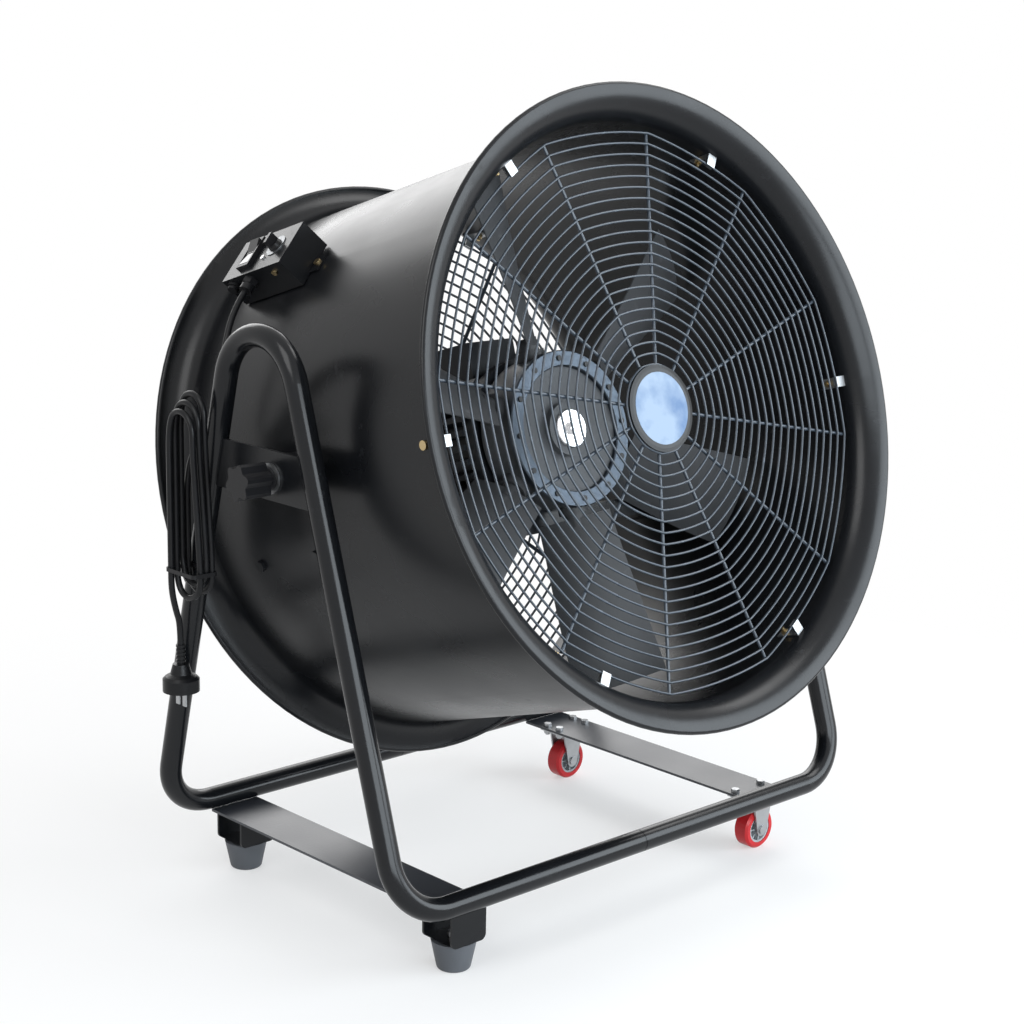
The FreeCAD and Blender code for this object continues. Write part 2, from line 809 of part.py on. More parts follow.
rocker_hole = box(
    rocker_x - rocker_half_width - 2 * rocker_gap, rocker_x + rocker_half_width + 2 * rocker_gap,
    -rocker_station - bezel_half_length + bezel_wall, -rocker_station + bezel_half_length - bezel_wall,
    control_top - 2 * control_wall, control_top + control_wall)
spindle_hole = rod(
    spindle_r + hole_gap, Vector(knob_x, -knob_station, control_top - 2 * control_wall),
    Vector(knob_x, -knob_station, control_top + control_wall))
gland_z = base_low + gland_height
button_hole = rod(
    button_r + button_gap, Vector(-half_width - control_wall, -button_station, gland_z),
    Vector(-half_width + 2 * control_wall, -button_station, gland_z))
add_control("control_box", cut_all(shell.cut(hollow), [rocker_hole, spindle_hole, button_hole]))
bezel = box(
    rocker_x - bezel_half_width, rocker_x + bezel_half_width, -rocker_station - bezel_half_length,
    -rocker_station + bezel_half_length, control_top, control_top + bezel_height)
bezel_window = box(
    rocker_x - rocker_half_width - 2 * rocker_gap, rocker_x + rocker_half_width + 2 * rocker_gap,
    -rocker_station - bezel_half_length + bezel_wall, -rocker_station + bezel_half_length - bezel_wall,
    control_top, control_top + bezel_height)
rocker_top = control_top + bezel_height
rocker_wide = bezel_half_length - bezel_wall - rocker_gap
trunnion_end = rocker_wide + rocker_gap + trunnion_reach
trunnion_z = rocker_top - trunnion_drop
trunnion_start = Vector(rocker_x, -rocker_station - trunnion_end, trunnion_z)
trunnion_stop = Vector(rocker_x, -rocker_station + trunnion_end, trunnion_z)
trunnion_hole = rod(trunnion_r + running_gap, trunnion_start, trunnion_stop)
add_control("switch_bezel", bezel.cut(bezel_window).cut(trunnion_hole))
rocker_points = []
rocker_shares = ((-1.0, 0.0), (1.0, 0.0), (1.0, 1.0), (0.0, 0.35), (-1.0, 0.55))
for across, rise in rocker_shares:
    height = rocker_top - rocker_root + (rocker_root + rocker_rise) * rise
    rocker_points.append(Vector(
        rocker_x + across * rocker_half_width, -rocker_station - rocker_wide, height))
rocker = prism(rocker_points, Vector(0, 2 * rocker_wide, 0))
add_control("rocker", rocker.fuse(rod(trunnion_r, trunnion_start, trunnion_stop)).removeSplitter())
dial = rod(
    dial_r, Vector(knob_x, -knob_station, control_top),
    Vector(knob_x, -knob_station, control_top + dial_thickness))
add_control("dial_plate", dial.cut(spindle_hole))
knob_low = control_top + dial_thickness + button_gap
skirt = Part.makeCone(
    speed_knob_r, speed_knob_r - 1.2 * dial_thickness, speed_skirt, Vector(knob_x, -knob_station, knob_low))
grip = box(
    knob_x - speed_knob_r + dial_thickness, knob_x + speed_knob_r - dial_thickness,
    -knob_station - speed_grip_half, -knob_station + speed_grip_half, knob_low,
    knob_low + speed_knob_height)
spindle = rod(
    spindle_r, Vector(knob_x, -knob_station, control_top - 3 * control_wall),
    Vector(knob_x, -knob_station, knob_low + speed_skirt))
add_control("speed_knob", skirt.fuse([grip, spindle]).removeSplitter())
lamp_foot = Vector(-lamp_across, -lamp_station, control_top)
add_control("pilot_lamp", rod(lamp_r, lamp_foot, lamp_foot + Vector(0, 0, lamp_height)))
gland_foot = Vector(-half_width, -gland_station, gland_z)
gland_nut_end = gland_foot - Vector(gland_nut_length, 0, 0)
gland_end = gland_nut_end - Vector(gland_cap_length, 0, 0)
gland = hexagon(gland_nut_r, gland_foot, gland_nut_end - gland_foot)
gland = gland.fuse(rod(gland_cap_r, gland_nut_end, gland_end)).removeSplitter()
add_control("cable_gland", gland)
collar_foot = Vector(-half_width, -button_station, gland_z)
collar = rod(button_collar_r, collar_foot, collar_foot - Vector(button_collar, 0, 0))
button_start = Vector(-half_width + 2 * control_wall, -button_station, gland_z)
button_end = Vector(-half_width - button_length, -button_station, gland_z)
add_control("button_collar", collar.cut(rod(button_r + button_gap, button_start, button_end)))
add_control("reset_button", rod(button_r, button_start, button_end))
earth_foot = Vector(-half_width, -earth_station, gland_z)
control_screws.append(rod(earth_head_r, earth_foot, earth_foot - Vector(earth_head, 0, 0)))
add_control("control_screws", *control_screws)


# Tilting pivot: pad on the drum, stud, washer and lobed clamp knob on each side.
def both_sides(shape):
    return [shape, mirrored(shape)]


plate_inner_x = hoop_x - pivot_plate / 2
plate_outer_x = hoop_x + pivot_plate / 2
washer_x = plate_outer_x + pivot_gap
knob_x0 = washer_x + washer_thickness + pivot_gap
pad = rod(pad_r, Vector(drum_inner_r - pad_r, 0, 0), Vector(plate_inner_x - pivot_gap, 0, 0))
pad = pad.cut(disc(drum_outer_r + fit_gap, -2 * pad_r, 2 * pad_r))
stud_bore = rod(stud_r + fit_gap, Vector(stud_start, 0, 0), Vector(hoop_x, 0, 0))
add_to_drum("pivot_pads", *both_sides(pad.cut(stud_bore)))
add_to_drum("pivot_studs", *both_sides(rod(stud_r, Vector(stud_start, 0, 0), Vector(stud_end, 0, 0))))
washer = rod(washer_r, Vector(washer_x, 0, 0), Vector(washer_x + washer_thickness, 0, 0))
washer_hole = rod(stud_r + fit_gap, Vector(plate_outer_x, 0, 0), Vector(knob_x0, 0, 0))
add_to_drum("pivot_washers", *both_sides(washer.cut(washer_hole)))
lobe_points = []
lobe_steps = 6 * knob_lobes
for index in range(lobe_steps):
    angle = 2 * math.pi * index / lobe_steps
    wave = (1 + math.cos(knob_lobes * angle)) / 2
    reach = knob_waist_r + (knob_r - knob_waist_r) * wave
    lobe_points.append(Vector(knob_x0 + knob_neck, reach * math.cos(angle), reach * math.sin(angle)))
knob_head = prism(lobe_points, Vector(knob_outer_x - knob_x0 - knob_neck, 0, 0))
knob = knob_head.fuse(rod(knob_neck_r, Vector(knob_x0, 0, 0), Vector(knob_x0 + knob_neck, 0, 0)))
knob_bore = rod(stud_r + 2 * running_gap, Vector(hoop_x, 0, 0), Vector(stud_end + pivot_gap, 0, 0))
knob = knob.removeSplitter().cut(knob_bore)
add_to_drum("clamp_knob_right", knob)
add_to_drum("clamp_knob_left", mirrored(knob))


# Stand: two bent tube hoops that meet at the middle of the cross tubes.
def bent_path(points, radii):
    edges = []
    last = points[0]
    for index in range(1, len(points) - 1):
        corner = points[index]
        before = (points[index - 1] - corner).normalize()
        after = (points[index + 1] - corner).normalize()
        half_turn = before.getAngle(after) / 2
        setback = radii[index - 1] / math.tan(half_turn)
        start = corner + before * setback
        end = corner + after * setback
        bisector = (before + after).normalize()
        centre = corner + bisector * (radii[index - 1] / math.sin(half_turn))
        middle = centre - bisector * radii[index - 1]
        edges.append(Part.makeLine(last, start))
        edges.append(Part.Arc(start, middle, end).toShape())
        last = end
    edges.append(Part.makeLine(last, points[-1]))
    return Part.Wire(edges)


def tube_along(path, radius):
    start = path.Edges[0].Vertexes[0].Point
    along = path.Edges[0].tangentAt(path.Edges[0].FirstParameter)
    circle = Part.Wire([Part.makeCircle(radius, start, along)])
    return path.makePipeShell([circle], True, False)


front_slope = (half_base - front_leg_gap) / (pivot_z - tube_z)
rear_slope = (half_base - rear_leg_gap) / (pivot_z - tube_z)
rise = 2 * half_base / (front_slope + rear_slope)
peak = Vector(hoop_x, pivot_y - half_base + front_slope * rise, tube_z + rise)
front_y = pivot_y - half_base
rear_y = pivot_y + half_base
hoop_points = [
    Vector(tube_seam / 2, front_y, tube_z),
    Vector(hoop_x, front_y, tube_z),
    peak,
    Vector(hoop_x, rear_y, tube_z),
    Vector(tube_seam / 2, rear_y, tube_z),
]
hoop_path = bent_path(hoop_points, (corner_bend_r, apex_bend_r, corner_bend_r))
hoop_outer = tube_along(hoop_path, tube_r)
hoop = hoop_outer.cut(tube_along(hoop_path, tube_r - tube_wall))
add("hoop_right", hoop)
add("hoop_left", mirrored(hoop))
sleeve_r = tube_r - tube_wall - sleeve_gap
sleeves = [
    rod(sleeve_r, Vector(-sleeve_half, y, tube_z), Vector(sleeve_half, y, tube_z)) for y in (front_y, rear_y)]
add("tube_sleeves", *sleeves)
plate = box(plate_inner_x, plate_outer_x, front_y, rear_y, plate_bottom, plate_top)
pieces = plate.cut(hoop_outer).Solids
plate = min(pieces, key=lambda piece: abs(piece.CenterOfMass.y - pivot_y))
plate_hole = rod(
    stud_r + plate_hole_gap, Vector(drum_inner_r, pivot_y, pivot_z), Vector(knob_outer_x, pivot_y, pivot_z))
plate = plate.cut(plate_hole)
add("pivot_plates", plate, mirrored(plate))

# Floor straps, rubber feet on the left and casters on the right.
strap = box(
    -strap_width / 2, strap_width / 2, pivot_y - strap_half_length, pivot_y + strap_half_length,
    strap_bottom, strap_top)
foot_places = [Vector(-strap_x, pivot_y + way * foot_y, 0) for way in (-1, 1)]
caster_places = [Vector(caster_x, pivot_y + way * caster_y, 0) for way in (-1, 1)]
half_side = bracket_side / 2
bracket = box(-half_side, half_side, -half_side, half_side, pad_height, strap_bottom)
lower_edges = [
    edge for edge in bracket.Edges
    if abs(edge.CenterOfMass.z - pad_height) < sleeve_gap and abs(edge.CenterOfMass.x) > sleeve_gap]
bracket = bracket.makeFillet(bracket_round, lower_edges)
pocket_half = half_side - bracket_wall
bracket = bracket.cut(box(
    -half_side, half_side, -pocket_half, pocket_half, pad_height + bracket_wall, strap_bottom))
bracket_top_z = pad_height + bracket_wall
foot_hole = rod(foot_bolt_r + hole_gap, Vector(0, 0, pad_height - bracket_wall), Vector(0, 0, strap_bottom))
bracket = bracket.cut(foot_hole)
rubber = Part.makeCone(pad_bottom_r, pad_top_r, pad_height)
low_edges = [edge for edge in rubber.Edges if edge.CenterOfMass.z < sleeve_gap and edge.Closed]
rubber = rubber.makeFillet(pad_round, low_edges)
rubber = rubber.cut(rod(
    foot_bolt_r + fit_gap, Vector(0, 0, pad_height - foot_bolt_depth), Vector(0, 0, pad_height)))
foot_bolt = rod(foot_bolt_r, Vector(0, 0, pad_height - foot_bolt_depth), Vector(0, 0, bracket_top_z))
foot_head = hexagon(foot_bolt_head_r, Vector(0, 0, bracket_top_z), Vector(0, 0, foot_bolt_head))
foot_bolt = foot_bolt.fuse(foot_head).removeSplitter()
add("foot_brackets", *[bracket.translated(place) for place in foot_places])
add("foot_pads", *[rubber.translated(place) for place in foot_places])
add("foot_bolts", *[foot_bolt.translated(place) for place in foot_places])

fork_inner = wheel_half + fork_gap
fork_low = strap_bottom - fork_thickness
fork_plate = box(
    -fork_plate_x / 2, fork_plate_x / 2, -fork_plate_y / 2, fork_plate_y / 2, fork_low, strap_bottom)
legs = []
for start in (fork_inner, -fork_inner - fork_thickness):
    leg = prism(
        [
            Vector(-fork_top_half, start, fork_low),
            Vector(fork_top_half, start, fork_low),
            Vector(fork_eye_r, start, wheel_r),
            Vector(-fork_eye_r, start, wheel_r),
        ],
        Vector(0, fork_thickness, 0))
    eye = rod(fork_eye_r, Vector(0, start, wheel_r), Vector(0, start + fork_thickness, wheel_r))
    legs.extend([leg, eye])
fork = fork_plate.fuse(legs).removeSplitter()
fork_outer = fork_inner + fork_thickness
axle_hole = rod(axle_r + fit_gap, Vector(0, -fork_outer, wheel_r), Vector(0, fork_outer, wheel_r))
bolt_feet = [
    Vector(x, y, 0) for x in (-caster_bolt_x, caster_bolt_x) for y in (-caster_bolt_y, caster_bolt_y)]
bolt_low = Vector(0, 0, fork_low - caster_bolt_tail - caster_bolt_head)
bolt_high = Vector(0, 0, strap_top)
bolt_holes = [rod(caster_bolt_r + hole_gap, foot + bolt_low, foot + bolt_high) for foot in bolt_feet]
fork = cut_all(fork, bolt_holes + [axle_hole])
caster_bolt = rod(caster_bolt_r, bolt_low, bolt_high)
bolt_head = hexagon(caster_bolt_head_r, bolt_high, Vector(0, 0, caster_bolt_head))
bolt_nut = hexagon(caster_bolt_r + screw_shank_r, Vector(0, 0, fork_low), Vector(0, 0, -caster_bolt_head))
caster_bolt = caster_bolt.fuse([bolt_head, bolt_nut]).removeSplitter()
axle = rod(axle_r, Vector(0, -fork_outer, wheel_r), Vector(0, fork_outer, wheel_r))
for way in (-1, 1):
    head_start = Vector(0, way * fork_outer, wheel_r)
    axle = axle.fuse(rod(axle_head_r, head_start, head_start + Vector(0, way * axle_head, 0)))
axle = axle.removeSplitter()
tyre_points = [
    (tyre_inner_r, -wheel_half),
    (wheel_r - tyre_round, -wheel_half),
    (wheel_r, -wheel_half + tyre_round),
    (wheel_r, wheel_half - tyre_round),
    (wheel_r - tyre_round, wheel_half),
    (tyre_inner_r, wheel_half),
]
tyre = turned(tyre_points).translated(Vector(0, 0, wheel_r))
wheel_hub = ring(axle_r + running_gap, tyre_inner_r, -hub_half, hub_half).translated(Vector(0, 0, wheel_r))
right_strap = strap.translated(Vector(strap_x, 0, 0))
strap_holes = [hole.translated(place) for place in caster_places for hole in bolt_holes]
add("floor_straps", strap.translated(Vector(-strap_x, 0, 0)), cut_all(right_strap, strap_holes))
add("caster_forks", *[fork.translated(place) for place in caster_places])
add("caster_axles", *[axle.translated(place) for place in caster_places])
caster_bolts = [caster_bolt.translated(place + foot) for place in caster_places for foot in bolt_feet]
add("caster_bolts", *caster_bolts)
for end, place in zip(("front", "rear"), caster_places):
    add("caster_tyre_" + end, tyre.translated(place))
    add("caster_hub_" + end, wheel_hub.translated(place))


# Cord: a lead from the gland, a hank tied to the rear leg, a tail and the plug.
def cord_path(points):
    radii = []
    for index in range(1, len(points) - 1):
        before = points[index - 1] - points[index]
        after = points[index + 1] - points[index]
        half_turn = before.getAngle(after) / 2
        radii.append(0.45 * min(before.Length, after.Length) * math.tan(half_turn))
    print("cord bend radii", [round(radius, 1) for radius in radii])
    return bent_path(points, radii)


hank_layers = [-hank_x - hank_pitch * index for index in range(len(hank_tops) + 1)]
near_y = pivot_y + hank_y - hank_bend_r
far_y = pivot_y + hank_y + hank_bend_r


def s_run(start, end):
    middle = (start + end) * 0.5
    along = Vector(0, 0, end.z - start.z).normalize()
    edges = []
    for first, last, heading in ((start, middle, along), (end, middle, along * -1)):
        chord = last - first
        across = chord - heading * chord.dot(heading)
        if across.Length < fit_gap:
            return [Part.makeLine(start, end)]
        radius = chord.dot(chord) / (2 * across.Length)
        centre = first + across.normalize() * radius
        outward = (first + last) * 0.5 - centre
        half = centre + outward.normalize() * radius
        edges.append(Part.Arc(first, half, last).toShape())
    return edges


def half_turn_arc(x, from_y, to_y, z, way):
    middle = Vector(x, (from_y + to_y) / 2, z + way * hank_bend_r)
    return Part.Arc(Vector(x, from_y, z), middle, Vector(x, to_y, z)).toShape()


hank_start = Vector(hank_layers[0], far_y, hank_first_z)
hank_edges = []
place = hank_start
for index, top in enumerate(hank_tops):
    x = hank_layers[index]
    next_x = hank_layers[index + 1]
    low = hank_bottoms[index] + hank_bend_r
    high = top - hank_bend_r
    hank_edges.extend(s_run(place, Vector(x, far_y, low)))
    hank_edges.append(half_turn_arc(x, far_y, near_y, low, -1))
    hank_edges.extend(s_run(Vector(x, near_y, low), Vector(next_x, near_y, high)))
    hank_edges.append(half_turn_arc(next_x, near_y, far_y, high, 1))
    place = Vector(next_x, far_y, high)
hank_end = Vector(hank_layers[-1], far_y, hank_last_z)
hank_edges.append(Part.makeLine(place, hank_end))
hank_wire = Part.Wire(Part.__sortEdges__(hank_edges))
hank_circle = Part.Wire([Part.makeCircle(cord_r, hank_start, z_axis)])
add("cord_hank", hank_wire.makePipeShell([hank_circle], True, False))
print("hank least gap between strands", round(hank_pitch - 2 * cord_r, 2))

gland_place = drum_place.multVec(around(Part.Vertex(gland_end), -control_angle).Point)
gland_way = drum_place.Rotation.multVec(FreeCAD.Rotation(y_axis, -control_angle).multVec(Vector(-1, 0, 0)))
lead_points = [gland_place, gland_place + gland_way * lead_first_run]
stand_side = Vector(-hoop_x, pivot_y, pivot_z)
for shares in lead_shares:
    lead_points.append(stand_side + Vector(*shares) * lead_span)
lead_points.append(hank_start + Vector(0, 0, lead_last_run))
lead_points.append(hank_start)
for point in lead_points:
    print("lead", [round(value, 2) for value in point])
lead_path = cord_path(lead_points)
add("cord_lead", tube_along(lead_path, cord_r))
plug_place = Vector(-plug_x, pivot_y + plug_y, plug_top)
tail_points = [
    hank_end,
    hank_end - Vector(0, 0, tail_first_run),
    stand_side + Vector(*tail_shares) * lead_span,
    plug_place + Vector(0, 0, tail_last_run),
    plug_place,
]
for point in tail_points:
    print("tail", [round(value, 2) for value in point])
add("cord_tail", tube_along(cord_path(tail_points), cord_r))

tie_low = tie_z - tie_height / 2
tie_x0 = hank_layers[-1] - cord_r - tie_gap
tie_x1 = -hank_x + cord_r + tie_gap
tie_y0 = near_y - cord_r - tie_gap
tie_y1 = far_y + cord_r + tie_gap


def rounded_bar(margin, radius):
    bar = box(
        tie_x0 - margin, tie_x1 + margin, tie_y0 - margin, tie_y1 + margin, tie_low, tie_low + tie_height)
    uprights = [edge for edge in bar.Edges if edge.Length < tie_height + fit_gap]
    return bar.makeFillet(radius, uprights)


add("hank_tie", rounded_bar(tie_wall, cord_r + tie_wall).cut(rounded_bar(0, cord_r)))

# Plug: ribbed strain relief, neck, round grip flange and two flat pins.
def plug_turned(points):
    corners = [Vector(radius, 0, -depth) for radius, depth in points]
    face = Part.Face(Part.makePolygon(corners + corners[:1]))
    return face.revolve(origin, z_axis, 360).translated(plug_place)


rib_step = relief_length / relief_ribs
relief_points = [(0, 0)]
for index in range(relief_ribs):
    start = rib_step * index
    relief_points.append((relief_r, start))
    relief_points.append((relief_r, start + rib_step / 2))
    relief_points.append((relief_r - relief_groove, start + rib_step / 2))
    relief_points.append((relief_r - relief_groove, start + rib_step))
neck_end = relief_length + plug_neck_length
flange_end = neck_end + plug_flange_length
plug_points = relief_points + [
    (plug_neck_r, relief_length),
    (plug_neck_r + plug_round, neck_end - plug_round),
    (plug_flange_r - plug_round, neck_end),
    (plug_flange_r, neck_end + plug_round),
    (plug_flange_r, flange_end),
    (0, flange_end),
]
plug_body = plug_turned(plug_points)
pins = []
for way in (-1, 1):
    across = way * pin_spacing / 2
    pin = box(
        -pin_thickness / 2, pin_thickness / 2, across - pin_half_width, across + pin_half_width,
        -flange_end - pin_length, -flange_end + pin_root)
    pins.append(pin.translated(plug_place))
add("plug_body", cut_all(plug_body, pins))
add("plug_pins", *pins)

for name, shape in nodes.items():
    shape.exportStep("parts/%s.step" % name)
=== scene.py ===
"""Looks of a tilting drum ventilation fan, built around its CAD frame. Lengths are in metres."""

import json
import math

import bmesh
import bpy
from mathutils import Matrix, Vector


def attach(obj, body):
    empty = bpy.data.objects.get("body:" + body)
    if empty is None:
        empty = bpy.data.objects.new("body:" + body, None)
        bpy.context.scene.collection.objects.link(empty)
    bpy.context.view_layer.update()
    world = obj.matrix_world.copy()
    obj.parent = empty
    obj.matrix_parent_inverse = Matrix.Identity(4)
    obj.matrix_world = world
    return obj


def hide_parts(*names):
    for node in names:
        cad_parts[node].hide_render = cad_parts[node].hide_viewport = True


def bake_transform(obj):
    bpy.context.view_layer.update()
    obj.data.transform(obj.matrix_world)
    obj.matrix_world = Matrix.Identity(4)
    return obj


bl_info = {
    "name": "Drum ventilation fan",
    "version": (1, 0, 0),
    "blender": (4, 5, 0),
    "location": "View3D > Sidebar > Fan",
    "description": "Builds the looks of a tilting drum fan around its CAD frame",
    "category": "Object",
}

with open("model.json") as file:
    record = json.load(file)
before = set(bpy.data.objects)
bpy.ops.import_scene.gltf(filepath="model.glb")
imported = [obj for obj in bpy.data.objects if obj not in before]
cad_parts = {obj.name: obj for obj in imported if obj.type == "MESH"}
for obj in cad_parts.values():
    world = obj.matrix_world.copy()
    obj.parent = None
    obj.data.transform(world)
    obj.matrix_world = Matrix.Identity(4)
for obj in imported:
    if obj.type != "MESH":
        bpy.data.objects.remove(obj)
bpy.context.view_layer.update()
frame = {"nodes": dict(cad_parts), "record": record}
slot_of = {entry["node"]: entry["material_slot"] for entry in frame["record"]["subparts"]}

# Drum, guards and lead: places and counts shared with the CAD part. The bow is a share of a full round.
TILT = math.radians(17.0)
PIVOT = Vector((0.0, 0.018790, 0.512773))
DRUM = Matrix.Translation(PIVOT) @ Matrix.Rotation(-TILT, 4, "X")
SPOKES = 12
RING_BOW = 0.55
LEAD_ROUTE = (
    (-0.27387, 0.17044, 0.68832),
    (-0.29523, 0.16428, 0.66817),
    (-0.31800, 0.14979, 0.62797),
    (-0.32900, 0.14279, 0.58497),
    (-0.34400, 0.14479, 0.54497),
    (-0.36888, 0.14879, 0.51197),
    (-0.36888, 0.14879, 0.47497),
)

# Hank: its place at the side, the spacing of its loops, their near and far runs, their tops and bottoms,
# where it starts and ends, its points as shares of a run down or up, and its turns in degrees.
HANK_X = 0.36888
HANK_PITCH = 0.0075
HANK_NEAR = 0.10479
HANK_FAR = 0.14879
HANK_TOPS = (0.58997, 0.58094, 0.57199)
HANK_BOTTOMS = (0.37197, 0.38098, 0.36690)
HANK_FIRST = 0.47497
HANK_LAST = 0.39997
RUN_DOWN_SHARES = (0.6, 0.2)
RUN_UP_SHARES = (0.1, 0.35, 0.65, 0.9)
TURN_ANGLES = (30, 90, 150)
TAIL_ROUTE = (
    (-0.39138, 0.14879, 0.37197),
    (-0.38310, 0.15329, 0.34677),
    (-0.37550, 0.15679, 0.32997),
    (-0.37550, 0.15679, 0.30597),
)

# Casters: their places, and the wheel centre that the tread sits on.
CASTER_X = 0.255
CASTER_Y = {"front": -0.14621, "rear": 0.18379}
WHEEL_RADIUS = 0.025
CENTRE_RADIUS = 0.0175
CENTRE_HALF = 0.0095
BORE_RADIUS = 0.00355

# Scales of the noise on the finishes, and the part of a noise's range that is used.
COAT_CLOUDS = 9.0
COAT_SCUFFS = 55.0
RUB_MARKS = 400.0
METAL_SPOTS = 60.0
MOULD_SKIN = 900.0
MOULD_CLOUDS = 25.0
BADGE_MOTTLE = 26.0
NOISE_LOW = 0.3
NOISE_HIGH = 0.7

# Relief of the finishes: strength of the bumps, and how deep marks and moulded skin are.
PEEL_STRENGTH = 0.35
RUB_STRENGTH = 0.12
SKIN_STRENGTH = 0.2
FINE_DEPTH = 0.0002

# Share of each colour that is left in the deeper mottling of the badge.
BADGE_DEEP = (0.25, 0.4, 0.62)

# Camera: place, turns in degrees, sensor and lens in millimetres, and how far it sees.
CAMERA_PLACE = (-1.64587, -1.72340, 0.96456)
CAMERA_YAW = 43.25
CAMERA_PITCH = 12.63
CAMERA_ROLL = 1.07
SENSOR_WIDTH = 36.0
LENS = 74.22
VIEW_END = 50.0

# Floor: half its side, its tone, where it goes over to white, and how white it is there.
FLOOR_HALF = 12.0
FLOOR_TONE = 0.93
FADE_START = 0.35
FADE_END = 1.3
WHITE_NEAR = 0.45
WHITE_FAR = 1.0

# Lamps: place, the point they face, width and height, and tint. The panel has their powers.
PLAIN_LIGHT = (1.0, 1.0, 1.0)
COOL_LIGHT = (0.84, 0.93, 1.0)
SKY_LIGHT = (0.96, 0.98, 1.0)
LAMPS = {
    "key": ((-2.4, -0.6, 2.8), (0, 0, 0.5), (1.6, 2.4), PLAIN_LIGHT),
    "fill": ((2.1, -2.6, 1.4), (0, 0, 0.6), (2.2, 2.0), COOL_LIGHT),
    "front": ((-0.6, -3.7, 1.2), (0, 0, 0.5), (3.2, 1.8), COOL_LIGHT),
    "back": ((2.0, 3.6, 2.5), (0, 0, 0.6), (5.0, 2.4), PLAIN_LIGHT),
    "side": ((2.0, -0.6, 3.0), (0, -0.2, 0.5), (1.4, 1.4), PLAIN_LIGHT),
}


class FanGuard(bpy.types.PropertyGroup):
    """Sizes of the front guard"""

    station: bpy.props.FloatProperty(
        name="Station", description="Place of the rings along the drum axis", default=0.2305,
        unit="LENGTH")
    outer_radius: bpy.props.FloatProperty(
        name="Outer radius", description="Radius of the outer ring at a spoke", default=0.306,
        unit="LENGTH")
    inner_radius: bpy.props.FloatProperty(
        name="Inner radius", description="Radius of the inner ring at a spoke", default=0.04875,
        unit="LENGTH")
    rings: bpy.props.IntProperty(name="Rings", description="Number of wire rings", default=22)
    wire: bpy.props.FloatProperty(
        name="Ring wire", description="Diameter of the ring wire", default=0.0026, unit="LENGTH")
    spoke: bpy.props.FloatProperty(
        name="Spoke wire", description="Diameter of the spoke wire", default=0.004, unit="LENGTH")
    first_spoke: bpy.props.FloatProperty(
        name="First spoke", description="Turn of the first spoke", default=math.radians(11.5),
        unit="ROTATION")


class FanRearGuard(bpy.types.PropertyGroup):
    """Sizes of the rear guard and its disc"""

    station: bpy.props.FloatProperty(
        name="Station", description="Place of the rings along the drum axis", default=-0.191,
        unit="LENGTH")
    outer_radius: bpy.props.FloatProperty(
        name="Outer radius", description="Radius of the outer ring at a spoke", default=0.305,
        unit="LENGTH")
    inner_radius: bpy.props.FloatProperty(
        name="Inner radius", description="Radius of the inner ring at a spoke", default=0.073,
        unit="LENGTH")
    rings: bpy.props.IntProperty(name="Rings", description="Number of wire rings", default=17)
    wire: bpy.props.FloatProperty(
        name="Ring wire", description="Diameter of the ring wire", default=0.003, unit="LENGTH")
    spoke: bpy.props.FloatProperty(
        name="Spoke wire", description="Diameter of the spoke wire", default=0.005, unit="LENGTH")
    first_spoke: bpy.props.FloatProperty(
        name="First spoke", description="Turn of the first spoke", default=math.radians(8.5),
        unit="ROTATION")
    disc_radius: bpy.props.FloatProperty(
        name="Disc radius", description="Radius of the plain disc", default=0.0875, unit="LENGTH")
    disc_thickness: bpy.props.FloatProperty(
        name="Disc thickness", description="Sheet of the plain disc", default=0.002, unit="LENGTH")


class FanCaster(bpy.types.PropertyGroup):
    """Sizes of the ribbed wheel centres"""

    rim: bpy.props.FloatProperty(
        name="Rim", description="Wall of the ring under the tread", default=0.0024, unit="LENGTH")
    boss_radius: bpy.props.FloatProperty(
        name="Boss radius", description="Radius of the boss on the axle", default=0.0072, unit="LENGTH")
    web: bpy.props.FloatProperty(
        name="Web", description="Thickness of the wall between boss and rim", default=0.004,
        unit="LENGTH")
    ribs: bpy.props.IntProperty(name="Ribs", description="Number of ribs on each side", default=8)
    rib: bpy.props.FloatProperty(
        name="Rib", description="Thickness of a rib", default=0.0014, unit="LENGTH")


class FanLook(bpy.types.PropertyGroup):
    """Sizes, colours and lamp powers that the panel lists"""

    caster: bpy.props.PointerProperty(
        name="Caster", description="Sizes of the wheel centres", type=FanCaster)
    guard: bpy.props.PointerProperty(
        name="Front guard", description="Sizes of the front guard", type=FanGuard)
    rear_guard: bpy.props.PointerProperty(
        name="Rear guard", description="Sizes of the rear guard", type=FanRearGuard)
    cord_diameter: bpy.props.FloatProperty(
        name="Cord diameter", description="Diameter of the flexible cord", default=0.007, unit="LENGTH")
    paint: bpy.props.FloatVectorProperty(
        name="Paint", description="Colour of the powder coat", default=(0.006, 0.0066, 0.0079),
        subtype="COLOR")
    badge: bpy.props.FloatVectorProperty(
        name="Badge", description="Colour of the bare badge", default=(0.25, 0.32, 0.42),
        subtype="COLOR")
    tread: bpy.props.FloatVectorProperty(
        name="Tread", description="Colour of the caster treads", default=(0.42, 0.016, 0.020),
        subtype="COLOR")
    key_power: bpy.props.FloatProperty(
        name="Key light", description="Power of the light at the upper left", default=45.0,
        unit="POWER")
    fill_power: bpy.props.FloatProperty(
        name="Fill light", description="Power of the light at the front right", default=85.0,
        unit="POWER")
    front_power: bpy.props.FloatProperty(
        name="Front light", description="Power of the wide light before the mouth", default=120.0,
        unit="POWER")
    back_power: bpy.props.FloatProperty(
        name="Back light", description="Power of the wide light behind the fan", default=95.0,
        unit="POWER")
    side_power: bpy.props.FloatProperty(
        name="Side light", description="Power of the light at the upper right", default=26.0,
        unit="POWER")
    sky_strength: bpy.props.FloatProperty(
        name="Sky", description="Strength of the even light all round", default=0.38)


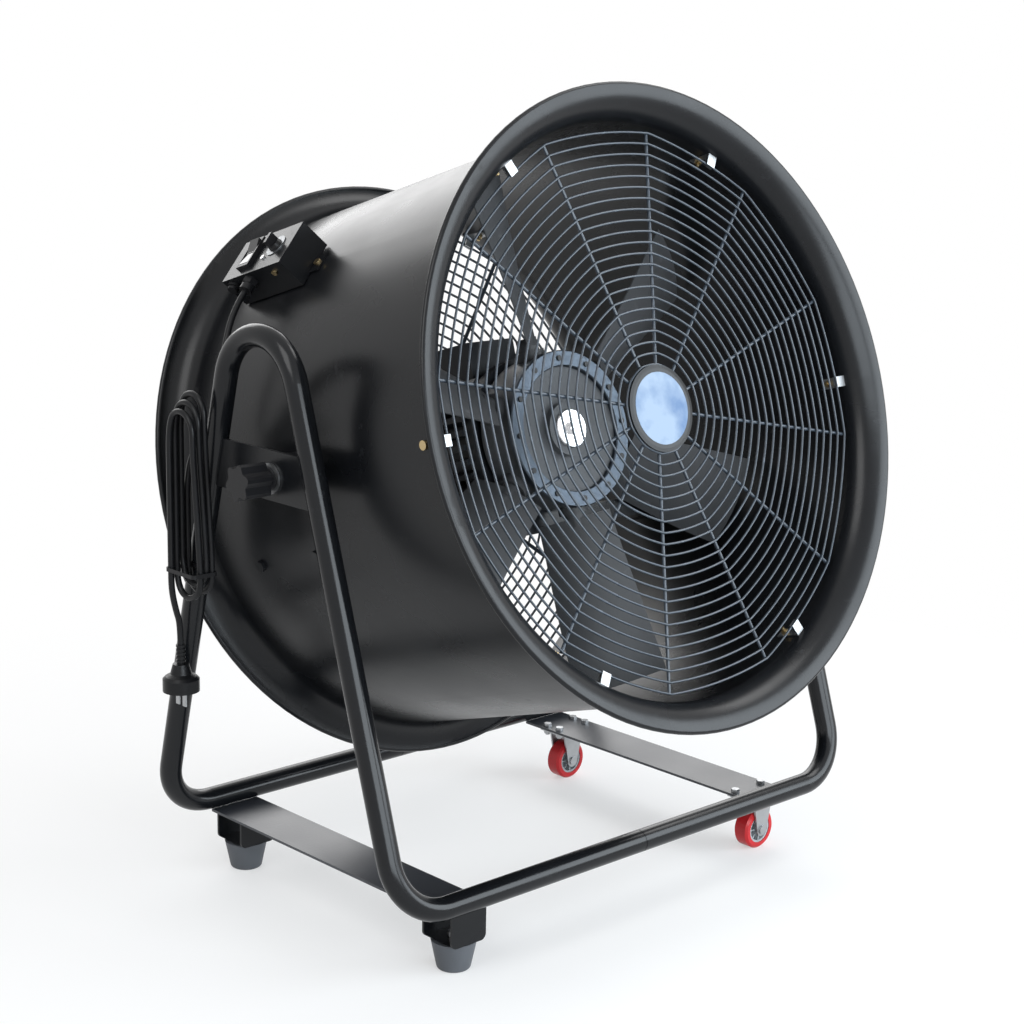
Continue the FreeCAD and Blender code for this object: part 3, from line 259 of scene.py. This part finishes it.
class Wire:
    """A shader socket that can be used in sums and products."""

    def __init__(self, tree, socket):
        self.tree = tree
        self.socket = socket

    def node(self, kind, output=0, settings=None, **inputs):
        """Adds a node of this type. An input called i6 is the one with that number."""
        made = self.tree.nodes.new(kind)
        for name, value in (settings or {}).items():
            setattr(made, name, value)
        for name, value in inputs.items():
            key = int(name[1:]) if name[0] == "i" and name[1:].isdigit() else name.replace("_", " ")
            target = made.inputs[key]
            if isinstance(value, Wire):
                self.tree.links.new(value.socket, target)
            else:
                target.default_value = value
        return Wire(self.tree, made.outputs[output]) if made.outputs else None

    def other(self, output):
        """Another output of the node that this socket belongs to."""
        return Wire(self.tree, self.socket.node.outputs[output])

    def math(self, kind, first, second):
        return self.node("ShaderNodeMath", settings={"operation": kind}, i0=first, i1=second)

    def ramp(self, low, high, to_low=0.0, to_high=1.0):
        return self.node(
            "ShaderNodeMapRange", Value=self, From_Min=low, From_Max=high, To_Min=to_low, To_Max=to_high)

    def mix(self, first, second):
        """Mixes two colours, which are inputs 6 and 7 and output 2 of the node."""
        return self.node(
            "ShaderNodeMix", output=2, settings={"data_type": "RGBA"}, Factor=self, i6=first, i7=second)

    def __add__(self, other):
        return self.math("ADD", self, other)

    def __radd__(self, other):
        return self.math("ADD", other, self)

    def __mul__(self, other):
        return self.math("MULTIPLY", self, other)

    def __rmul__(self, other):
        return self.math("MULTIPLY", other, self)


def rgba(colour):
    return (*colour, 1.0)


def shade(colour, factor):
    return tuple(value * factor for value in colour)


def surface(name):
    """A material with its shader and the object coordinates of the piece."""
    material = bpy.data.materials.new(name)
    material.use_nodes = True
    shader = material.node_tree.nodes["Principled BSDF"]
    start = Wire(material.node_tree, None)
    place = start.node("ShaderNodeTexCoord", output="Object")
    return material, shader, place


def link(shader, **inputs):
    for name, value in inputs.items():
        socket = shader.inputs[name.replace("_", " ")]
        if isinstance(value, Wire):
            value.tree.links.new(value.socket, socket)
        else:
            socket.default_value = value


def noise(place, scale, detail=2.0):
    return place.node("ShaderNodeTexNoise", Vector=place, Scale=scale, Detail=detail)


def bumped(height, strength, distance):
    return height.node("ShaderNodeBump", Height=height, Strength=strength, Distance=distance)


def coated(name, colour, roughness, grain, depth, specular=0.18):
    """Powder coat or paint: an orange-peel skin with faint clouds and pale scuffs."""
    material, shader, place = surface(name)
    clouds = noise(place, COAT_CLOUDS, detail=3.0)
    peel = noise(place, grain)
    scuffs = noise(place, COAT_SCUFFS, detail=4.0).ramp(low=0.66, high=0.78)
    paler = tuple(value * 1.5 + 0.004 for value in colour)
    darker = shade(colour, factor=0.8)
    base = clouds.ramp(low=0.35, high=NOISE_HIGH).mix(rgba(darker), rgba(colour))
    sheen = clouds.ramp(NOISE_LOW, NOISE_HIGH, to_low=roughness - 0.04, to_high=roughness + 0.05)
    link(shader, Base_Color=scuffs.mix(base, rgba(paler)), Roughness=sheen + 0.08 * scuffs)
    link(shader, Normal=bumped(peel, PEEL_STRENGTH, depth), Specular_IOR_Level=specular)
    return material


def bare_metal(name, colour, roughness):
    """Bare or plated metal with fine rub marks."""
    material, shader, place = surface(name)
    marks = noise(place, RUB_MARKS, detail=3.0)
    spots = noise(place, METAL_SPOTS).ramp(low=0.35, high=0.65)
    darker = shade(colour, factor=0.9)
    sheen = marks.ramp(NOISE_LOW, NOISE_HIGH, to_low=roughness - 0.07, to_high=roughness + 0.09)
    link(shader, Base_Color=spots.mix(rgba(darker), rgba(colour)), Metallic=1.0, Roughness=sheen)
    link(shader, Normal=bumped(marks, RUB_STRENGTH, FINE_DEPTH))
    return material


def moulded(name, colour, roughness, coat=0.0):
    """Moulded plastic or rubber with a fine skin."""
    material, shader, place = surface(name)
    skin = noise(place, MOULD_SKIN)
    clouds = noise(place, MOULD_CLOUDS)
    lighter = shade(colour, factor=1.25)
    base = clouds.ramp(low=0.4, high=0.75).mix(rgba(colour), rgba(lighter))
    sheen = clouds.ramp(NOISE_LOW, NOISE_HIGH, to_low=roughness - 0.05, to_high=roughness + 0.05)
    link(shader, Base_Color=base, Roughness=sheen)
    link(shader, Normal=bumped(skin, SKIN_STRENGTH, FINE_DEPTH))
    link(shader, Coat_Weight=coat, Specular_IOR_Level=0.2)
    return material


def mottled_badge(name, colour, roughness):
    """A bare blue badge with deeper blue mottling."""
    material, shader, place = surface(name)
    clouds = noise(place, BADGE_MOTTLE, detail=6.0)
    deep = tuple(value * share for value, share in zip(colour, BADGE_DEEP))
    base = clouds.ramp(low=0.48, high=0.8).mix(rgba(colour), rgba(deep))
    sheen = clouds.ramp(NOISE_LOW, NOISE_HIGH, to_low=roughness, to_high=roughness + 0.1)
    link(shader, Base_Color=base, Roughness=sheen, Specular_IOR_Level=0.15)
    return material


def finishes(look):
    """How each finish is made, with the colours of the panel."""
    paint = tuple(look.paint)
    # The straps take the stand paint six times paler: painted light standing for the brightly lit top
    # faces of the black straps.
    painted_lit_strap = shade(paint, factor=6.0)
    hub = (0.10, 0.105, 0.112)
    motor = (0.022, 0.024, 0.028)
    wire = (0.042, 0.054, 0.070)
    blade = (0.072, 0.073, 0.076)
    return {
        "black_powder_coat": (
            coated, dict(colour=paint, roughness=0.28, grain=420.0, depth=0.0002, specular=0.26)),
        "stand_gloss": (
            coated, dict(colour=paint, roughness=0.19, grain=220.0, depth=0.00006, specular=0.28)),
        "satin_strap": (
            coated, dict(colour=painted_lit_strap, roughness=0.33, grain=420.0, depth=0.0003, specular=0.5)),
        "guard_wire": (
            coated, dict(colour=wire, roughness=0.24, grain=500.0, depth=0.0001, specular=0.45)),
        "dark_hub": (coated, dict(colour=hub, roughness=0.34, grain=380.0, depth=0.0003)),
        "blue_badge": (mottled_badge, dict(colour=tuple(look.badge), roughness=0.35)),
        "zinc": (bare_metal, dict(colour=(0.40, 0.41, 0.42), roughness=0.4)),
        "brass_heads": (bare_metal, dict(colour=(0.48, 0.37, 0.20), roughness=0.32)),
        "motor_paint": (coated, dict(colour=motor, roughness=0.42, grain=350.0, depth=0.0004)),
        "core_steel": (bare_metal, dict(colour=(0.20, 0.20, 0.21), roughness=0.5)),
        "hub_alloy": (bare_metal, dict(colour=(0.085, 0.103, 0.127), roughness=0.42)),
        "bright_cap": (bare_metal, dict(colour=(0.93, 0.93, 0.94), roughness=0.24)),
        "blade_plastic": (coated, dict(colour=blade, roughness=0.40, grain=300.0, depth=0.0003)),
        "black_plastic": (moulded, dict(colour=(0.008, 0.008, 0.009), roughness=0.32)),
        "gloss_black": (moulded, dict(colour=(0.012, 0.012, 0.013), roughness=0.14, coat=0.5)),
        "dial_metal": (bare_metal, dict(colour=(0.22, 0.23, 0.24), roughness=0.35)),
        "black_rubber": (moulded, dict(colour=(0.006, 0.0062, 0.007), roughness=0.34)),
        "foot_rubber": (moulded, dict(colour=(0.085, 0.090, 0.099), roughness=0.5)),
        "red_tread": (moulded, dict(colour=tuple(look.tread), roughness=0.34, coat=0.2)),
        "wheel_centre": (moulded, dict(colour=(0.30, 0.32, 0.33), roughness=0.35)),
    }


def dress(piece, slot, finish=None):
    """Gives the piece the finish of its record slot, or another one, made on first use."""
    finish = finish or slot
    name = "fan_" + finish
    material = bpy.data.materials.get(name)
    if material is None:
        make, values = finishes(bpy.context.scene.fan_look)[finish]
        material = make(name, **values)
    piece.data.materials.clear()
    piece.data.materials.append(material)


def dress_nodes(names, finish=None):
    for name in names:
        dress(frame["nodes"][name], slot_of.pop(name), finish)


def new_object(name, data):
    piece = bpy.data.objects.new(name, data)
    bpy.context.scene.collection.objects.link(piece)
    return piece


def new_curve(name, radius):
    data = bpy.data.curves.new(name, "CURVE")
    data.dimensions = "3D"
    data.bevel_depth = radius
    data.bevel_resolution = 3
    data.use_fill_caps = True
    return new_object(name, data)


def add_spline(piece, kind, points):
    spline = piece.data.splines.new(kind)
    spline.points.add(len(points) - 1)
    for target, point in zip(spline.points, points):
        target.co = (*point, 1.0)
    return spline


def add_line(piece, points, closed=False):
    spline = add_spline(piece, "POLY", points)
    spline.use_cyclic_u = closed


def add_cord_line(piece, points):
    spline = add_spline(piece, "NURBS", points)
    spline.order_u = 3
    spline.use_endpoint_u = True
    spline.resolution_u = 10


def meshed(piece):
    """The curve piece as a mesh piece under the same name."""
    bpy.context.view_layer.update()
    graph = bpy.context.evaluated_depsgraph_get()
    mesh = bpy.data.meshes.new_from_object(piece.evaluated_get(graph))
    name = piece.name
    old = piece.data
    bpy.data.objects.remove(piece)
    bpy.data.curves.remove(old)
    for polygon in mesh.polygons:
        polygon.use_smooth = True
    return new_object(name, mesh)


class FAN_OT_stand(bpy.types.Operator):
    """Finishes the hoops, the cross tubes, the straps and the feet"""

    bl_idname = "fan.stand"
    bl_label = "Stand"

    def execute(self, context):
        dress_nodes(("hoop_left", "hoop_right", "tube_sleeves"))
        dress_nodes(("floor_straps", "foot_brackets", "foot_bolts"))
        dress_nodes(("pivot_plates",), finish="black_powder_coat")
        dress_nodes(("foot_pads",), finish="foot_rubber")
        return {"FINISHED"}


class FAN_OT_casters(bpy.types.Operator):
    """Shapes the ribbed wheel centres and finishes the forks, the treads and the bolts"""

    bl_idname = "fan.casters"
    bl_label = "Casters"

    def turned_loop(self, form, outline, steps=64):
        """A closed outline of radius and place along the axle, turned about the axle."""
        rows = []
        for index in range(steps):
            turn = 2 * math.pi * index / steps
            row = []
            for radius, y in outline:
                row.append(form.verts.new((radius * math.sin(turn), y, radius * math.cos(turn))))
            rows.append(row)
        for index in range(steps):
            here = rows[index]
            after = rows[(index + 1) % steps]
            for corner in range(len(outline)):
                follow = (corner + 1) % len(outline)
                form.faces.new((here[corner], here[follow], after[follow], after[corner]))

    def wheel_centre(self, caster, end):
        """A wheel centre with a rim, a boss and a thin web, and ribs that sink into rim and boss."""
        inner = CENTRE_RADIUS - caster.rim
        boss = caster.boss_radius
        web = caster.web / 2
        side = ((boss, CENTRE_HALF), (boss, web), (inner, web), (inner, CENTRE_HALF))
        outline = [(BORE_RADIUS, CENTRE_HALF), *side, (CENTRE_RADIUS, CENTRE_HALF)]
        outline += [(radius, -y) for radius, y in reversed(outline)]
        form = bmesh.new()
        self.turned_loop(form, outline)
        sunk = caster.rim / 4
        low = boss - sunk
        high = inner + sunk
        size = Matrix.Diagonal((caster.rib, CENTRE_HALF * 2 - caster.rib, high - low, 1.0))
        for index in range(caster.ribs):
            spin = Matrix.Rotation(2 * math.pi * index / caster.ribs, 4, "Y")
            place = spin @ Matrix.Translation((0.0, 0.0, (low + high) / 2)) @ size
            bmesh.ops.create_cube(form, size=1.0, matrix=place)
        bmesh.ops.recalc_face_normals(form, faces=form.faces)
        form.transform(Matrix.Translation((CASTER_X, CASTER_Y[end], WHEEL_RADIUS)))
        mesh = bpy.data.meshes.new("caster_centre_" + end)
        form.to_mesh(mesh)
        form.free()
        piece = new_object(mesh.name, mesh)
        dress(piece, "wheel_centre")
        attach(piece, "wheel_" + end)
        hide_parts("caster_hub_" + end)

    def execute(self, context):
        for end in CASTER_Y:
            self.wheel_centre(context.scene.fan_look.caster, end)
        dress_nodes(("caster_forks", "caster_axles", "caster_bolts"))
        dress_nodes(("caster_tyre_front", "caster_hub_front", "caster_tyre_rear", "caster_hub_rear"))
        return {"FINISHED"}


class FAN_OT_drum(bpy.types.Operator):
    """Finishes the drum shell, its pivots and the clamp knobs"""

    bl_idname = "fan.drum"
    bl_label = "Drum"

    def execute(self, context):
        dress_nodes(("drum_shell", "pivot_pads", "pivot_studs", "pivot_washers"))
        dress_nodes(("clamp_knob_left", "clamp_knob_right"))
        return {"FINISHED"}


class FAN_OT_guards(bpy.types.Operator):
    """Draws both guards in round wire and finishes the discs, the badge and the clips"""

    bl_idname = "fan.guards"
    bl_label = "Guards"

    def ring_points(self, guard, radius, steps=12):
        """One ring, which bows out between the spokes less than a circle would."""
        half = math.pi / SPOKES
        points = []
        for index in range(SPOKES * steps):
            angle = 2 * math.pi * index / (SPOKES * steps)
            away = (angle % (2 * half)) - half
            straight = math.cos(half) / math.cos(away)
            reach = radius * (straight + (1 - straight) * RING_BOW)
            turn = guard.first_spoke + angle
            points.append(DRUM @ Vector((reach * math.sin(turn), -guard.station, reach * math.cos(turn))))
        return points

    def round_wire(self, guard, node):
        """The rings, with the spokes welded to their inner side."""
        rings = new_curve(node + "_rings", guard.wire / 2)
        pitch = (guard.outer_radius - guard.inner_radius) / (guard.rings - 1)
        for index in range(guard.rings):
            add_line(rings, self.ring_points(guard, guard.outer_radius - pitch * index), closed=True)
        spokes = new_curve(node + "_spokes", guard.spoke / 2)
        inward = math.copysign((guard.wire + guard.spoke) / 2, guard.station)
        for index in range(SPOKES):
            turn = guard.first_spoke + 2 * math.pi * index / SPOKES
            ends = []
            for radius in (guard.inner_radius, guard.outer_radius):
                across = Vector((radius * math.sin(turn), inward - guard.station, radius * math.cos(turn)))
                ends.append(DRUM @ across)
            add_line(spokes, ends)
        ring_piece = meshed(rings)
        for piece in (ring_piece, meshed(spokes)):
            dress(piece, "guard_wire")
            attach(piece, "drum")
        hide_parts(node)

    def plain_disc(self, guard, steps=96):
        """The sheet disc welded to the outer side of the rear rings."""
        near = guard.wire / 2 - guard.station
        edge = guard.disc_thickness / 4
        far = near + guard.disc_thickness
        rows = (
            (guard.disc_radius, near), (guard.disc_radius, far - edge), (guard.disc_radius - edge, far))
        points = []
        for radius, y in rows:
            for index in range(steps):
                turn = 2 * math.pi * index / steps
                points.append(DRUM @ Vector((radius * math.sin(turn), y, radius * math.cos(turn))))
        last = steps * (len(rows) - 1)
        faces = [tuple(range(steps - 1, -1, -1)), tuple(range(last, last + steps))]
        for first in range(0, last, steps):
            for index in range(steps):
                after = (index + 1) % steps
                faces.append((first + index, first + after, first + steps + after, first + steps + index))
        mesh = bpy.data.meshes.new("rear_guard_disc")
        mesh.from_pydata(points, [], faces)
        piece = new_object("rear_guard_disc", mesh)
        dress(piece, "guard_wire", finish="black_powder_coat")
        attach(piece, "drum")

    def execute(self, context):
        look = context.scene.fan_look
        dress_nodes(("front_guard", "guard_badge", "rear_guard", "guard_clips", "clip_screws"))
        dress_nodes(("guard_disc",), finish="black_powder_coat")
        self.round_wire(look.guard, "front_guard")
        self.round_wire(look.rear_guard, "rear_guard")
        self.plain_disc(look.rear_guard)
        return {"FINISHED"}


class FAN_OT_motor(bpy.types.Operator):
    """Finishes the motor, its shelf and the bolts"""

    bl_idname = "fan.motor"
    bl_label = "Motor"

    def execute(self, context):
        dress_nodes(("motor_frame", "motor_bolts", "motor_shields", "motor_bearings", "stator_core"))
        dress_nodes(("terminal_box", "motor_shelf", "shelf_bolts", "motor_shaft", "rotor_core"))
        return {"FINISHED"}


class FAN_OT_impeller(bpy.types.Operator):
    """Finishes the hub and the blades"""

    bl_idname = "fan.impeller"
    bl_label = "Impeller"

    def execute(self, context):
        dress_nodes(("impeller_hub", "hub_ring", "hub_plate", "hub_screws", "hub_cap", "blades"))
        return {"FINISHED"}


class FAN_OT_control_box(bpy.types.Operator):
    """Finishes the control box with its switch, knob, lamp and button"""

    bl_idname = "fan.control_box"
    bl_label = "Control box"

    def execute(self, context):
        dress_nodes(("control_base", "control_screws", "control_box"))
        dress_nodes(("switch_bezel", "rocker", "dial_plate"))
        dress_nodes(("speed_knob", "pilot_lamp", "cable_gland", "button_collar", "reset_button"))
        return {"FINISHED"}


class FAN_OT_cord(bpy.types.Operator):
    """Hangs the lead, the hank and the tail of the cord, with its tie and plug"""

    bl_idname = "fan.cord"
    bl_label = "Cord"

    def hank_points(self):
        """Loops of the hank, each down the far run, up the near run and over to the next."""
        radius = (HANK_FAR - HANK_NEAR) / 2
        middle = (HANK_FAR + HANK_NEAR) / 2
        turns = [math.radians(angle) for angle in TURN_ANGLES]
        reach = radius / math.cos(turns[0])
        first_share = RUN_UP_SHARES[0]
        span = RUN_UP_SHARES[-1] - first_share
        points = [Vector((-HANK_X, HANK_FAR, HANK_FIRST))]
        for index, (top, bottom) in enumerate(zip(HANK_TOPS, HANK_BOTTOMS)):
            x = -HANK_X - HANK_PITCH * index
            next_x = x - HANK_PITCH
            low = bottom + radius
            high = top - radius
            drop = points[-1].z - low
            for share in RUN_DOWN_SHARES:
                points.append(Vector((x, HANK_FAR, low + share * drop)))
            for turn in turns:
                y = middle + reach * math.cos(turn)
                points.append(Vector((x, y, low - reach * math.sin(turn))))
            for share in RUN_UP_SHARES:
                across = x + (next_x - x) * (share - first_share) / span
                points.append(Vector((across, HANK_NEAR, low + (high - low) * share)))
            for turn in reversed(turns):
                y = middle + reach * math.cos(turn)
                points.append(Vector((next_x, y, high + reach * math.sin(turn))))
        points.append(Vector((points[-1].x, HANK_FAR, (HANK_LAST + HANK_TOPS[-1]) / 2)))
        points.append(Vector((points[-1].x, HANK_FAR, HANK_LAST)))
        return points

    def execute(self, context):
        dress_nodes(("cord_lead", "cord_hank", "cord_tail", "hank_tie", "plug_body", "plug_pins"))
        diameter = context.scene.fan_look.cord_diameter
        lead = new_curve("cord_lead_flex", 0.0)
        add_cord_line(lead, LEAD_ROUTE)
        context.view_layer.update()
        graph = context.evaluated_depsgraph_get()
        line = bpy.data.meshes.new_from_object(lead.evaluated_get(graph))
        bpy.data.meshes.remove(line)
        lead.data.bevel_depth = diameter / 2
        flex = meshed(lead)
        dress(flex, "black_rubber")
        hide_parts("cord_lead")
        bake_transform(flex)
        hank = new_curve("cord_hank_flex", diameter / 2)
        route = self.hank_points() + [Vector(point) for point in TAIL_ROUTE]
        add_cord_line(hank, route)
        dress(hank, "black_rubber")
        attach(hank, "stand")
        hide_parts("cord_hank", "cord_tail")
        return {"FINISHED"}


class FAN_OT_stage(bpy.types.Operator):
    """Sets the camera, the pale floor, the white surround and the lights"""

    bl_idname = "fan.stage"
    bl_label = "Stage"

    def area_light(self, name, place, aim, size, tint, power):
        """A soft lamp that faces the point it aims at."""
        data = bpy.data.lights.new(name, "AREA")
        data.shape = "RECTANGLE"
        data.size, data.size_y = size
        data.energy = power
        data.color = tint
        lamp = new_object(name, data)
        lamp.location = place
        lamp.rotation_euler = (Vector(aim) - Vector(place)).to_track_quat("-Z", "Y").to_euler()

    def camera(self):
        """A camera turned by yaw and pitch, then rolled about its line of sight."""
        yaw = math.radians(CAMERA_YAW)
        pitch = math.radians(CAMERA_PITCH)
        roll = math.radians(CAMERA_ROLL)
        ahead = Vector((
            math.sin(yaw) * math.cos(pitch), math.cos(yaw) * math.cos(pitch), -math.sin(pitch)))
        right = Vector((math.cos(yaw), -math.sin(yaw), 0.0))
        up = right.cross(ahead)
        rolled_right = math.cos(roll) * right + math.sin(roll) * up
        rolled_up = -math.sin(roll) * right + math.cos(roll) * up
        data = bpy.data.cameras.new("camera")
        data.sensor_width = SENSOR_WIDTH
        data.lens = LENS
        data.clip_end = VIEW_END
        camera = new_object("camera", data)
        turn = Matrix((rolled_right, rolled_up, -ahead)).transposed().to_4x4()
        camera.matrix_world = Matrix.Translation(CAMERA_PLACE) @ turn
        bpy.context.scene.camera = camera

    def seen_directly(self, start):
        """One for what is seen by the camera, in a reflection or through something clear."""
        camera_ray = start.node("ShaderNodeLightPath", output="Is Camera Ray")
        return camera_ray + camera_ray.other("Is Glossy Ray") + camera_ray.other("Is Transmission Ray")

    def floor(self):
        """Pale paper that keeps the shadow and goes over to white away from the fan."""
        mesh = bpy.data.meshes.new("floor")
        half = FLOOR_HALF
        corners = [(-half, -half, 0), (half, -half, 0), (half, half, 0), (-half, half, 0)]
        mesh.from_pydata(corners, [], [(0, 1, 2, 3)])
        floor = new_object("floor", mesh)
        material, shader, place = surface("floor_paper")
        link(shader, Base_Color=rgba([FLOOR_TONE] * 3), Roughness=0.9, Specular_IOR_Level=0.0)
        distance = place.node(
            "ShaderNodeVectorMath", output="Value", settings={"operation": "LENGTH"}, Vector=place)
        away = distance.ramp(FADE_START, FADE_END, WHITE_NEAR, WHITE_FAR) * self.seen_directly(place)
        white = place.node("ShaderNodeEmission", Color=rgba(PLAIN_LIGHT), Strength=1.0)
        paper = Wire(material.node_tree, shader.outputs[0])
        both = place.node("ShaderNodeMixShader", i0=away, i1=paper, i2=white)
        material.node_tree.links.new(both.socket, material.node_tree.nodes["Material Output"].inputs[0])
        mesh.materials.append(material)

    def world(self, strength):
        """White where it is seen, and an even light all round."""
        world = bpy.data.worlds.new("studio")
        bpy.context.scene.world = world
        world.use_nodes = True
        tree = world.node_tree
        tree.nodes.clear()
        seen = self.seen_directly(Wire(tree, None))
        sky = seen.node("ShaderNodeBackground", Color=rgba(SKY_LIGHT), Strength=strength)
        white = seen.node("ShaderNodeBackground", Color=rgba(PLAIN_LIGHT), Strength=1.0)
        both = seen.node("ShaderNodeMixShader", i0=seen, i1=sky, i2=white)
        seen.node("ShaderNodeOutputWorld", Surface=both)

    def execute(self, context):
        look = context.scene.fan_look
        self.camera()
        self.floor()
        self.world(look.sky_strength)
        for name, (place, aim, size, tint) in LAMPS.items():
            self.area_light(name, place, aim, size, tint, getattr(look, name + "_power"))
        context.scene.view_settings.view_transform = "Standard"
        return {"FINISHED"}


class FAN_PT_panel(bpy.types.Panel):
    """Lists the sizes, the colours and the steps of the fan"""

    bl_idname = "FAN_PT_panel"
    bl_label = "Fan"
    bl_space_type = "VIEW_3D"
    bl_region_type = "UI"
    bl_category = "Fan"

    def draw(self, context):
        look = context.scene.fan_look
        for name in ("cord_diameter", "paint", "badge", "tread"):
            self.layout.prop(look, name)
        for name in LAMPS:
            self.layout.prop(look, name + "_power")
        self.layout.prop(look, "sky_strength")
        for guard in (look.guard, look.rear_guard):
            for name in ("station", "outer_radius", "inner_radius", "rings"):
                self.layout.prop(guard, name)
            for name in ("wire", "spoke", "first_spoke"):
                self.layout.prop(guard, name)
        for name in ("disc_radius", "disc_thickness"):
            self.layout.prop(look.rear_guard, name)
        for name in ("rim", "boss_radius", "web", "ribs", "rib"):
            self.layout.prop(look.caster, name)
        for operator in OPERATORS:
            self.layout.operator(operator.bl_idname)


OPERATORS = (
    FAN_OT_stand, FAN_OT_casters, FAN_OT_drum, FAN_OT_guards, FAN_OT_motor, FAN_OT_impeller,
    FAN_OT_control_box, FAN_OT_cord, FAN_OT_stage,
)
CLASSES = (FanGuard, FanRearGuard, FanCaster, FanLook, *OPERATORS, FAN_PT_panel)


def register():
    for item in CLASSES:
        bpy.utils.register_class(item)
    bpy.types.Scene.fan_look = bpy.props.PointerProperty(type=FanLook)


def unregister():
    del bpy.types.Scene.fan_look
    for item in reversed(CLASSES):
        bpy.utils.unregister_class(item)


def main():
    register()
    bpy.ops.fan.stand()
    bpy.ops.fan.casters()
    bpy.ops.fan.drum()
    bpy.ops.fan.guards()
    bpy.ops.fan.motor()
    bpy.ops.fan.impeller()
    bpy.ops.fan.control_box()
    bpy.ops.fan.cord()
    bpy.ops.fan.stage()
    if slot_of:
        raise RuntimeError("pieces without a finish: " + ", ".join(slot_of))


if __name__ == "__main__":
    main()
